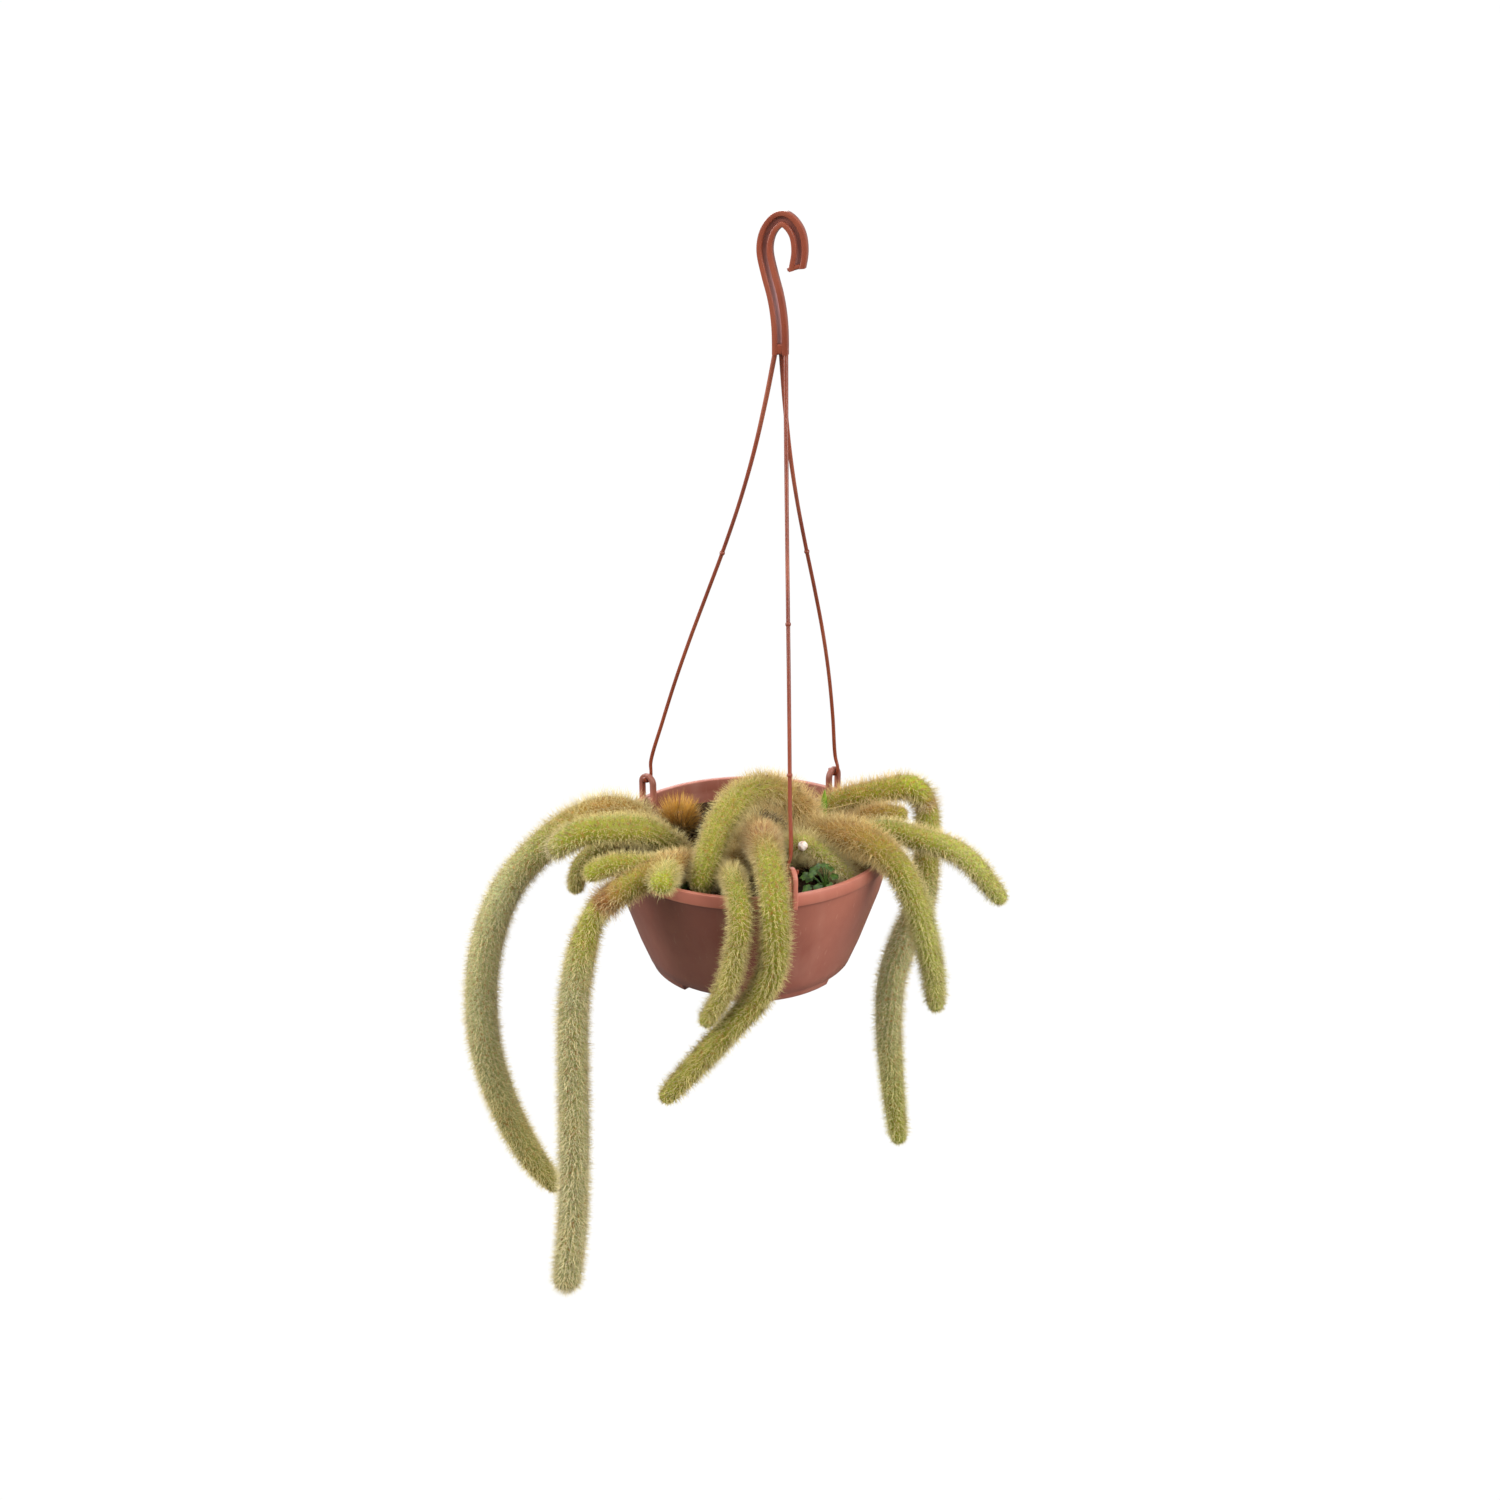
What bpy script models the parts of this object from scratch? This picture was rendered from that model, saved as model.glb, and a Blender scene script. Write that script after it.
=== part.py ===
"""A monkey tail cactus in its hanging plastic pot.

Metres, +Z up, +X to the right and +Y to the back. The origin is where the crook of the hanger
bears on what it hangs from. The pot hangs below it. The stems are rooted in the soil, lie over
the rim and hang. Pot and stems are laid out in millimetres from the centre of the pot's rim.
"""

import math
import random
from collections import namedtuple

import bmesh
import bpy
from mathutils import Vector

MM = 0.001
FIT_GAP = 0.3
SEED = 7

# Pot, in millimetres; heights are measured from the top of the rim
POT_RIM_FROM_HOOK = Vector((-18.0, 0.0, -407.4))
POT_SEGMENTS = 36
RIM_RADIUS = 100.0
RIM_INNER_RADIUS = 96.0
RIM_BAND_HEIGHT = 8.5
RIM_EDGE = 0.8
WALL_THICKNESS = 2.0
POT_DEPTH = 94.0
WALL = ((97.6, -RIM_BAND_HEIGHT), (90.9, -34.5), (78.2, -72.0), (69.5, -POT_DEPTH))
FOOT_HEIGHT = 5.0
FOOT_WIDTH = 6.0
FLOOR_Z = -POT_DEPTH + FOOT_HEIGHT + 2.2
FLOOR_CORNER = 3.0
FOOT_GAP_WIDTH = 24.0
FOOT_GAP_ANGLES = (-28.5, 61.5, 151.5, 241.5)
DRAIN_HOLES = 6
DRAIN_RADIUS = 4.0
DRAIN_CIRCLE = 42.0
CUT_MARGIN = 3.0

# Ears: arches that stand across the rim; angles go from the front towards the right
EAR_ANGLES = {"left": -130.0, "right": 141.0, "front": 16.5}
EAR_MID_RADIUS = 95.9
EAR_ARCH_RADIUS = 5.2
EAR_BAR_WIDTH = 4.2
EAR_BAR_THICKNESS = 3.8
EAR_BAR_CHAMFER = 0.9
EAR_TOP = 18.0
EAR_STEPS = 8
GUSSET_WIDTH = 2.6
GUSSET_REACH = (-4.0, 1.6)

# Hanger
HOOK_ROUTE = ((11.3, -25.5), (13.0, -14.0), (10.5, -2.2), (2.2, 5.0), (-5.8, -1.0), (-9.2, -13.0),
              (-6.0, -29.0), (-2.8, -40.0), (-0.7, -50.0), (0.6, -61.0), (1.0, -72.0), (1.0, -78.0))
HOOK_END = Vector((-0.3, 0.0, 0.954))
HOOK_BAND = 9.8
HOOK_DEPTH = 6.5
HOOK_FLANGE = 3.2
HOOK_WEB = 2.0
HOOK_RING_STEP = 5.5
HOOK_INSET = 0.4
LIP_HEIGHT = 2.8
LIP_REACH = 0.7
BOSS_HEIGHT = 7.0
HOOK_TURN = math.radians(-15.0)
STRAND_TOP = -74.0
STRAND_TOP_RADIUS = 1.6
STRAND_RADIUS = 1.3
STRAND_END_RADIUS = 1.15
STRAND_SIDES = 6
STRAND_RINGS = 9
CATCH_RADIUS = 3.7
CATCH_STEPS = 6
CATCH_NECK = 8.0
# A strand: where it leaves the boss, its bow, and the side of its ear that its small hook goes down
Strand = namedtuple("Strand", "start sag sway side neck")
STRANDS = {
    "left": Strand((-1.8, 0.0), -0.051, -0.033, -1.0, 1.0),
    "right": Strand((1.3, 1.4), 0.0, -0.075, -1.0, 0.4),
    "front": Strand((4.3, -1.3), -0.02, -0.04, -1.0, 0.4),
}

# Soil
SOIL_TOP = -16.0
SOIL_RINGS = (0.0, 24.0, 48.0, 70.0, 84.0)
SOIL_BUMP = 0.7
SOIL_WAVE = 17.0
SOIL_CALM = 30.0
SOIL_EDGE_DROP = 1.0
ROOT_DEPTH = 22.0
ROOT_CLEAR = 0.45
WEED_DEPTH = 6.5

# Stems
STEM_SIDES = 8
RING_STEP = 14.5
ROUND_TIP = ((0.55, 0.82), (0.88, 0.42))
SPINE_ROOT = 0.75
SPINE_LEAN = 0.35
SPINE_CLEAR = 1.2
BALL_STEP = 4.0
COLLAR = 3.0
TIP_REACH = 1.9
SOIL_SPARE = 2.5
# How far spines keep from the pot: below it, above its rim, inside it and outside it
POT_SPARE_LOW = 4.0
POT_SPARE_HIGH = 3.0
POT_SPARE_INSIDE = 5.0
POT_SPARE_OUTSIDE = 2.0
ROUTE_FINE = 12
MERGE = 0.00001

Finish = namedtuple("Finish", "name colour roughness")
POT_PLASTIC = Finish("pot_plastic", (0.40, 0.150, 0.105), 0.55)
HANGER_PLASTIC = Finish("hanger_plastic", (0.34, 0.092, 0.047), 0.42)
POTTING_SOIL = Finish("potting_soil", (0.028, 0.018, 0.012), 0.95)
GREEN_STEM = Finish("green_stem", (0.36, 0.37, 0.075), 0.75)
GREY_STEM = Finish("grey_green_stem", (0.34, 0.33, 0.14), 0.80)
GOLDEN_STEM = Finish("golden_stem", (0.40, 0.25, 0.06), 0.80)
WEED_LEAF = Finish("weed_leaf", (0.04, 0.16, 0.03), 0.50)
WHITE_GRAIN = Finish("white_grain", (0.85, 0.74, 0.68), 0.70)

# A stem: where its root stands in the soil, then points (x, y, z, core radius) up to its tip
Stem = namedtuple("Stem", "finish spine root route")
STEMS = {
    "stem_outer_left": Stem(GREY_STEM, 3.0, (-72, 16), (
        (-74, 14, 1, 7.5), (-86, 9, 13, 7.9), (-102, 4, 16, 8.7), (-123, -2, 8, 9.6),
        (-145, -8, -9, 10), (-164, -12, -30, 10), (-177, -14, -56, 10.3), (-188, -15, -99, 10.5),
        (-190, -14, -157, 10.5), (-178, -11, -216, 9.8), (-160, -8, -262, 8.5), (-146, -6, -285, 5.8))),
    "stem_upper_left": Stem(GREEN_STEM, 2.6, (-46, -12), (
        (-50, -18, -5, 7.6), (-58, -27, 7, 8.2), (-68, -37, 18, 8.8), (-80, -47, 25, 9),
        (-93, -54, 28, 8.9), (-108, -58, 28, 8.6), (-120, -60, 23, 8), (-126, -60, 18, 7.2))),
    "stem_under_left": Stem(GREY_STEM, 1.8, (-64, -4), (
        (-68, -14, 1, 5.5), (-79, -27, 8, 5.5), (-91, -34, 10, 5.5), (-104, -38, 4, 5.5),
        (-113, -38, -5, 5.5), (-117, -37, -16, 5.3), (-118, -36, -23, 5))),
    "stem_left_branching": Stem(GREY_STEM, 2.8, (-40, -36), (
        (-42, -48, -3, 8), (-48, -64, 7, 8), (-57, -78, 11, 8.2), (-70, -87, 8, 8.4),
        (-84, -92, 1, 8.4), (-96, -92, -9, 7.4), (-102, -92, -18, 6.6), (-107, -91, -32, 7.8),
        (-112, -91, -52, 9), (-117, -91, -82, 9.4), (-119, -90, -126, 9.5), (-121, -86, -193, 9.5),
        (-125, -80, -263, 9.5), (-131, -76, -315.5, 9.3))),
    "stem_centre_arch": Stem(GREEN_STEM, 3.0, (42, 24), (
        (42, 23, -6, 8.5), (37, 18, 7, 8.7), (26, 12, 22, 8.9), (12, 0, 33, 9),
        (-1, -15, 37, 8.9), (-11, -30, 35, 8.8), (-19, -45, 28, 8.7), (-25, -60, 18, 8.6),
        (-29, -71, 8, 8.2), (-31, -77, 1, 7.6))),
    "stem_front_long": Stem(GREEN_STEM, 3.0, (6, -27), (
        (6, -34, 3, 8), (7, -50, 20, 8.1), (9.5, -76, 27, 8.1), (13, -102, 22, 8.1),
        (15.5, -116, 4, 8.4), (16, -116, -21, 8.8), (14, -112, -45, 8.6), (5, -108, -68, 8),
        (-11, -105, -90, 7.9), (-29.5, -102, -115, 7.6), (-46, -100, -136, 6.5), (-55, -99, -148, 5.5))),
    "stem_front_short": Stem(GREEN_STEM, 2.5, (-14, -58), (
        (-13, -66, -4, 6.3), (-12, -82, 8, 6.3), (-10, -98, 11, 6.4), (-7, -112, 5, 6.5),
        (-6, -118, -10, 6.6), (-9, -116, -30, 6.5), (-13, -112, -52, 6.3), (-20.5, -109, -71, 5.7),
        (-28, -107, -85, 5))),
    "stem_right_long": Stem(GREEN_STEM, 2.8, (36, -12), (
        (38, -15, -1, 8.3), (46, -24, 9, 8.5), (59, -34, 15, 8.8), (73, -46, 17, 9),
        (86, -56, 14, 8.8), (97, -62, 5, 8.6), (105, -65, -9, 8.4), (112, -66, -27, 8),
        (118, -66, -50, 7.4), (123, -64, -72, 6.6), (126.5, -62, -99, 5.2))),
    "stem_right_outer": Stem(GREEN_STEM, 2.4, (60, 0), (
        (66, -6, -2, 6.8), (80, -13, 7, 7.1), (96, -20, 11, 7.3), (112, -27, 9, 7.5),
        (126, -32, 7, 7.5), (140, -36, 2, 7.2), (151, -40, -6, 6.7), (160, -42, -17, 6),
        (168, -44, -27, 5))),
    "stem_right_tail": Stem(GREY_STEM, 2.7, (50, 46), (
        (53, 44, -4, 7), (60, 42, 4, 7.2), (72, 40, 9, 7.5), (88, 38, 14, 7.8),
        (104, 37, 18, 8), (114, 36, 19, 7.8), (123, 36, 10, 7), (126, 36, -9, 7.8),
        (126, 36, -38, 8.6), (124, 36, -70, 9.0), (112.5, 36, -101, 9.6), (104, 36, -136, 9.6),
        (103, 36, -174, 9), (106, 36, -213, 8), (110, 36, -248, 6.9), (113, 36, -271, 5.8))),
    "stem_right_back": Stem(GOLDEN_STEM, 2.2, (70, 22), (
        (74, 19, -2, 5.8), (84, 16, 6, 5.8), (95, 13, 9, 5.6), (104, 11, 9, 5))),
    "stem_pot_right": Stem(GREEN_STEM, 2.4, (24, -27), (
        (25, -29, -4, 6.3), (29, -33, 6, 6.3), (36, -39, 10, 6.4), (46, -44, 7, 6.3),
        (56, -48, 0, 6), (65, -51, -7, 5.4))),
}
# Arms that fork from a stem and grow as one piece with it
ARMS = {
    "stem_left_branching": (
        ((-58, -76, 11, 6.4), (-72, -78, 13, 6.6), (-88, -79, 14, 6.6), (-102, -82, 10, 5.8)),
        ((-54, -77, 10, 7.6), (-55, -92, 13, 8), (-56, -108, 16, 7.4)),
    ),
}
STUB_ROOT = (-50, 36)
STUB_RADIUS = 8.0
STUB_SPINE = 13.0
STUB_SHAPE = ((3.0, 1.0), (7.0, 1.0), (10.0, 0.84), (12.0, 0.5))
STUB_LEAN = 1.6
STUB_SPINE_SHARES = (0.55, 0.75)

# A weed on the soil: its place, the length of its leaves, and leaves as (bearing, height, reach)
Weed = namedtuple("Weed", "root length leaves")
WEEDS = {
    "weed_right": Weed((50.0, -68.0), 6.5, (
        (20, 8, 7), (95, 12, 6), (160, 7, 6), (230, 10, 5), (300, 13, 6))),
    "weed_left": Weed((-38.0, -64.0), 4.5, ((-25, 5, 4), (60, 7, 4), (145, 6, 4), (250, 6, 4))),
}
WEED_SPARE = 4.0
WEED_STALK_RADIUS = 0.8
WEED_STALK_SIDES = 6
WEED_STALK_SHARE = 0.55
LEAF_STALK_RADIUS = 0.5
LEAF_STALK_SIDES = 4
LEAF_STALK_FOOT = 1.5
LEAF_STALK_REACH = 0.6
LEAF_SIDES = 8
LEAF_BACK = 0.9
LEAF_HALF_WIDTH = 0.36
LEAF_THICKNESS = 0.7
LEAF_DROOP = 0.12
BLADE_ROOT = (52.0, 31.5)
BLADE_WIDTH = 5.0
BLADE_THICKNESS = 0.8
BLADE_SHAPE = ((-WEED_DEPTH, 1.0, 0.0), (12.0, 1.0, 0.0), (22.0, 0.9, 0.1), (30.0, 0.6, 0.3),
               (35.0, 0.2, 0.6))
GRAIN_RADIUS = 3.5
GRAIN_SINK = 0.6
GRAIN_SEAT = 2
GRAIN_SIDE = Vector((-0.1, -0.95, 0.3))
GRAIN_SHAPE = (1.0, 0.9, 0.95)

def pot_point(x, y, z):
    """The place in metres of a point given in millimetres from the rim's centre."""
    return (POT_RIM_FROM_HOOK + Vector((x, y, z))) * MM

def clear_scene():
    """Take away everything that the file opened with."""
    for old in list(bpy.data.objects):
        bpy.data.objects.remove(old, do_unlink=True)

def material(finish):
    """The Principled material of a finish, made once."""
    found = bpy.data.materials.get(finish.name)
    if found:
        return found
    made = bpy.data.materials.new(finish.name)
    made.use_nodes = True
    shader = made.node_tree.nodes["Principled BSDF"]
    shader.inputs["Base Color"].default_value = (*finish.colour, 1.0)
    shader.inputs["Roughness"].default_value = finish.roughness
    made.diffuse_color = (*finish.colour, 1.0)
    return made

def finish_object(name, bm, finish, smooth_angle=35.0):
    """Turn a bmesh in metres into a named object with its material."""
    bmesh.ops.recalc_face_normals(bm, faces=bm.faces)
    mesh = bpy.data.meshes.new(name)
    bm.to_mesh(mesh)
    bm.free()
    mesh.shade_smooth()
    mesh.set_sharp_from_angle(angle=math.radians(smooth_angle))
    mesh.materials.append(material(finish))
    made = bpy.data.objects.new(name, mesh)
    bpy.context.scene.collection.objects.link(made)
    return made

def boolean(target, tools, operation):
    """Cut or join a list of tool objects, gathered in a collection, with one Boolean."""
    group = bpy.data.collections.new("tools")
    for tool in tools:
        group.objects.link(tool)
    modifier = target.modifiers.new("boolean", "BOOLEAN")
    modifier.operation = operation
    modifier.operand_type = "COLLECTION"
    modifier.collection = group
    bpy.context.view_layer.update()
    evaluated = target.evaluated_get(bpy.context.evaluated_depsgraph_get())
    result = bpy.data.meshes.new_from_object(evaluated)
    target.modifiers.clear()
    target.data = result
    for tool in tools:
        bpy.data.objects.remove(tool, do_unlink=True)
    bpy.data.collections.remove(group)
    return target

def smooth_route(points, step):
    """Even steps along a smooth curve through points of x, y, z and radius."""
    knots = [Vector(p) for p in points]
    knots.insert(0, 2 * knots[0] - knots[1])
    knots.append(2 * knots[-1] - knots[-2])
    fine = []
    for a, b, c, d in zip(knots, knots[1:], knots[2:], knots[3:]):
        t1 = (b - a).length ** 0.5
        t2 = t1 + (c - b).length ** 0.5
        t3 = t2 + (d - c).length ** 0.5
        for k in range(ROUTE_FINE):
            t = t1 + (t2 - t1) * k / ROUTE_FINE
            ab = a.lerp(b, t / t1)
            bc = b.lerp(c, (t - t1) / (t2 - t1))
            cd = c.lerp(d, (t - t2) / (t3 - t2))
            abc = ab.lerp(bc, t / t2)
            bcd = bc.lerp(cd, (t - t1) / (t3 - t1))
            fine.append(abc.lerp(bcd, (t - t1) / (t2 - t1)))
    fine.append(knots[-2])
    lengths = [0.0]
    for a, b in zip(fine, fine[1:]):
        lengths.append(lengths[-1] + (b.xyz - a.xyz).length)
    count = max(2, round(lengths[-1] / step))
    even = []
    at = 0
    for k in range(count + 1):
        want = lengths[-1] * k / count
        while at < len(fine) - 2 and lengths[at + 1] < want:
            at += 1
        share = (want - lengths[at]) / (lengths[at + 1] - lengths[at])
        even.append(fine[at].lerp(fine[at + 1], share))
    return even

def frames_along(points, first_direction=None):
    """Directions and side axes along points, turned as little as possible from ring to ring."""
    places = [p.xyz for p in points]
    directions = []
    for k, place in enumerate(places):
        before = places[max(k - 1, 0)]
        after = places[min(k + 1, len(places) - 1)]
        directions.append((after - before).normalized())
    if first_direction:
        directions[0] = first_direction
        directions[1] = first_direction
    side = Vector((1.0, 0.0, 0.0))
    if abs(directions[0].x) > 0.9:
        side = Vector((0.0, 1.0, 0.0))
    frames = []
    for direction in directions:
        side = (side - direction * side.dot(direction)).normalized()
        frames.append((direction, side, direction.cross(side)))
    return frames

def sweep(bm, rings):
    """Extrude a closed tube through rings of points; gives the side faces ring by ring."""
    cap = bm.faces.new([bm.verts.new(place) for place in rings[0]])
    sides = []
    for k, ring in enumerate(rings[1:]):
        old_cap = cap
        extruded = bmesh.ops.extrude_face_region(bm, geom=[cap], use_keep_orig=True)["geom"]
        faces = [item for item in extruded if isinstance(item, bmesh.types.BMFace)]
        cap = next(face for face in faces if not set(face.verts) & set(old_cap.verts))
        if k > 0:
            bmesh.ops.delete(bm, geom=[old_cap], context="FACES_ONLY")
        for vert, place in zip(cap.verts, ring):
            vert.co = place
        after = list(cap.verts)
        row = []
        for k, vert in enumerate(after):
            mate = after[(k + 1) % len(after)]
            row.append(next(f for f in vert.link_faces if mate in f.verts and f is not cap))
        sides.append(row)
    return sides, cap

def round_rings(points, frames, sides):
    """Rings of points, in metres, round places given in millimetres from the rim."""
    rings = []
    for point, (_, side, up) in zip(points, frames):
        ring = []
        for k in range(sides):
            angle = math.tau * (k + 0.5) / sides
            offset = (side * math.cos(angle) + up * math.sin(angle)) * point.w
            ring.append(pot_point(*(point.xyz + offset)))
        rings.append(ring)
    return rings

def rounded_tip(points):
    """Points past the end of a route that close it with a round tip."""
    last, before = points[-1], points[-2]
    ahead = (last.xyz - before.xyz).normalized()
    tip = []
    for reach, share in ROUND_TIP:
        place = last.xyz + ahead * last.w * reach
        tip.append(Vector((*place, last.w * share)))
    return points + tip

def pot_radius(z):
    """Outer radius of the pot's wall at a height below the rim."""
    if z > -RIM_BAND_HEIGHT:
        return RIM_RADIUS
    for (r1, z1), (r2, z2) in zip(WALL, WALL[1:]):
        if z >= z2:
            return r1 + (r2 - r1) * (z - z1) / (z2 - z1)
    return WALL[-1][0]

def bowl_inside(gap):
    """The bowl's inside as (radius, height) from its axis upward, at a gap in from the plastic."""
    inset = WALL_THICKNESS + gap / math.cos(math.pi / POT_SEGMENTS)
    floor = FLOOR_Z + gap
    floor_radius = pot_radius(floor) - inset
    side = [(radius - inset, z) for radius, z in reversed(WALL[1:-1])]
    return [(0.0, floor), (floor_radius - FLOOR_CORNER, floor), (floor_radius, floor + FLOOR_CORNER), *side]

def ear_axes(angle):
    """Outward and sideways directions at an angle from the front towards the right."""
    a = math.radians(angle)
    return Vector((math.sin(a), -math.cos(a), 0.0)), Vector((math.cos(a), math.sin(a), 0.0))

def strand_points(name):
    """A strand from the hook's stem down to its small hook under the crown of an ear."""
    strand = STRANDS[name]
    outward, sideways = ear_axes(EAR_ANGLES[name])
    reach = sideways * strand.side * CATCH_RADIUS
    crown = outward * EAR_MID_RADIUS
    catch_z = EAR_TOP - EAR_BAR_WIDTH - FIT_GAP - STRAND_END_RADIUS + CATCH_RADIUS
    end = crown + reach * strand.neck + Vector((0.0, 0.0, EAR_TOP + CATCH_NECK))
    start = Vector((*strand.start, STRAND_TOP)) - POT_RIM_FROM_HOOK
    points = []
    for k in range(STRAND_RINGS + 1):
        t = k / STRAND_RINGS
        share = t + strand.sag * math.sin(math.pi * t) + strand.sway * math.sin(math.tau * t)
        place = start.lerp(end, share)
        place.z = start.z + (end.z - start.z) * t
        radius = STRAND_RADIUS + (STRAND_TOP_RADIUS - STRAND_RADIUS) * max(0.0, 1 - 3 * t)
        points.append(Vector((*place, radius)))
    neck = crown + reach + Vector((0.0, 0.0, EAR_TOP + STRAND_END_RADIUS))
    points.append(Vector((*neck, STRAND_END_RADIUS)))
    for k in range(CATCH_STEPS + 1):
        angle = math.pi * k / CATCH_STEPS
        place = crown + reach * math.cos(angle)
        place.z = catch_z - CATCH_RADIUS * math.sin(angle)
        points.append(Vector((*place, STRAND_END_RADIUS)))
    points[-1].w = STRAND_END_RADIUS * 0.7
    return points

def lathe(profile, segments, name, finish):
    """A closed turned solid about the pot's axis; the profile is (radius, height) pairs."""
    bm = bmesh.new()
    verts = [bm.verts.new(pot_point(radius, 0.0, z)) for radius, z in profile]
    edges = [bm.edges.new(pair) for pair in zip(verts, verts[1:])]
    centre = pot_point(0.0, 0.0, 0.0)
    bmesh.ops.spin(bm, geom=verts + edges, cent=centre, axis=(0, 0, 1), angle=math.tau,
                   steps=segments, use_merge=True)
    bmesh.ops.remove_doubles(bm, verts=bm.verts, dist=MERGE)
    return finish_object(name, bm, finish)

def make_wedge(angle):
    """A cutter that opens the foot ring between two feet."""
    bm = bmesh.new()
    inner = WALL[-1][0] - FOOT_WIDTH - 2 * CUT_MARGIN
    outer = WALL[-1][0] + 2 * CUT_MARGIN
    corners = []
    for radius, edge in ((inner, -0.5), (outer, -0.5), (outer, 0.5), (inner, 0.5)):
        outward, _ = ear_axes(angle + edge * FOOT_GAP_WIDTH)
        corners.append(outward * radius)
    rings = [[pot_point(p.x, p.y, z) for p in corners]
             for z in (-POT_DEPTH - CUT_MARGIN, -POT_DEPTH + FOOT_HEIGHT)]
    sweep(bm, rings)
    return finish_object("foot_gap", bm, POT_PLASTIC)

def make_peg(name, place, low, high, radius, sides, finish):
    """An upright prism, used as a cutter or as a stalk; its corners stand at odd half steps."""
    x, y = place
    bm = bmesh.new()
    rings = []
    for z in (low, high):
        ring = []
        for k in range(sides):
            angle = math.tau * (k + 0.5) / sides
            ring.append(pot_point(x + radius * math.cos(angle), y + radius * math.sin(angle), z))
        rings.append(ring)
    sweep(bm, rings)
    return finish_object(name, bm, finish)

def make_ear(angle):
    """An arch bar across the rim, with a gusset that ties its inner leg to the wall."""
    outward, sideways = ear_axes(angle)
    half_width = EAR_BAR_WIDTH / 2
    half_thick = EAR_BAR_THICKNESS / 2
    cut = EAR_BAR_CHAMFER
    section = ((half_width, half_thick - cut), (half_width - cut, half_thick),
               (cut - half_width, half_thick), (-half_width, half_thick - cut),
               (-half_width, cut - half_thick), (cut - half_width, -half_thick),
               (half_width - cut, -half_thick), (half_width, cut - half_thick))
    crown_z = EAR_TOP - half_width - EAR_ARCH_RADIUS
    path = [(EAR_ARCH_RADIUS, -RIM_BAND_HEIGHT - RIM_EDGE, 0.0)]
    for k in range(EAR_STEPS + 1):
        turn = math.pi * k / EAR_STEPS
        path.append((EAR_ARCH_RADIUS * math.cos(turn), crown_z + EAR_ARCH_RADIUS * math.sin(turn), turn))
    path.append((-EAR_ARCH_RADIUS, -RIM_BAND_HEIGHT + 2 * RIM_EDGE, math.pi))
    rings = []
    for reach, z, turn in path:
        centre = outward * (EAR_MID_RADIUS + reach) + Vector((0.0, 0.0, z))
        across = outward * math.cos(turn) + Vector((0.0, 0.0, math.sin(turn)))
        rings.append([pot_point(*(centre + across * u + sideways * v)) for u, v in section])
    bm = bmesh.new()
    sweep(bm, rings)
    arch = finish_object("ear", bm, POT_PLASTIC)
    near, far = (RIM_INNER_RADIUS + reach for reach in GUSSET_REACH)
    half = GUSSET_WIDTH / 2
    rings = []
    for z in (-RIM_BAND_HEIGHT + 2.5 * RIM_EDGE, -RIM_EDGE):
        corners = ((near, -half), (far, -half), (far, half), (near, half))
        rings.append([pot_point(*(outward * r + sideways * v + Vector((0.0, 0.0, z)))) for r, v in corners])
    bm = bmesh.new()
    sweep(bm, rings)
    return [arch, finish_object("gusset", bm, POT_PLASTIC)]

def make_pot():
    """Bowl, rim band, ears, feet and drain holes as one moulding."""
    foot_radius = WALL[-1][0]
    foot_inner = foot_radius - FOOT_WIDTH
    rim = ((WALL[0][0] - WALL_THICKNESS, -RIM_BAND_HEIGHT), (RIM_INNER_RADIUS, 0.0),
           (RIM_RADIUS - RIM_EDGE, 0.0), (RIM_RADIUS, -RIM_EDGE),
           (RIM_RADIUS, -RIM_BAND_HEIGHT + RIM_EDGE / 2), (RIM_RADIUS - RIM_EDGE, -RIM_BAND_HEIGHT))
    foot = ((foot_radius + RIM_EDGE / 2, -POT_DEPTH + 2 * RIM_EDGE), (foot_radius - RIM_EDGE, -POT_DEPTH),
            (foot_inner, -POT_DEPTH), (foot_inner - RIM_EDGE, -POT_DEPTH + FOOT_HEIGHT),
            (0.0, -POT_DEPTH + FOOT_HEIGHT))
    profile = [*bowl_inside(0.0), *rim, *WALL[:-1], *foot]
    pot = lathe(profile, POT_SEGMENTS, "pot", POT_PLASTIC)
    ears = []
    for angle in EAR_ANGLES.values():
        ears.extend(make_ear(angle))
    boolean(pot, ears, "UNION")
    cutters = [make_wedge(angle) for angle in FOOT_GAP_ANGLES]
    for k in range(DRAIN_HOLES):
        angle = math.tau * k / DRAIN_HOLES
        place = DRAIN_CIRCLE * math.cos(angle), DRAIN_CIRCLE * math.sin(angle)
        drain = make_peg("drain", place, -POT_DEPTH, FLOOR_Z + CUT_MARGIN, DRAIN_RADIUS, 8, POT_PLASTIC)
        cutters.append(drain)
    return boolean(pot, cutters, "DIFFERENCE")

def hook_point(place):
    """The place in metres of a point of the crook's plane, turned about the crook's stem."""
    stem_x = HOOK_ROUTE[-1][0]
    x, y = place.x - stem_x, place.y
    turned_x = x * math.cos(HOOK_TURN) - y * math.sin(HOOK_TURN)
    turned_y = x * math.sin(HOOK_TURN) + y * math.cos(HOOK_TURN)
    return Vector((stem_x + turned_x, turned_y, place.z)) * MM

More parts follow.
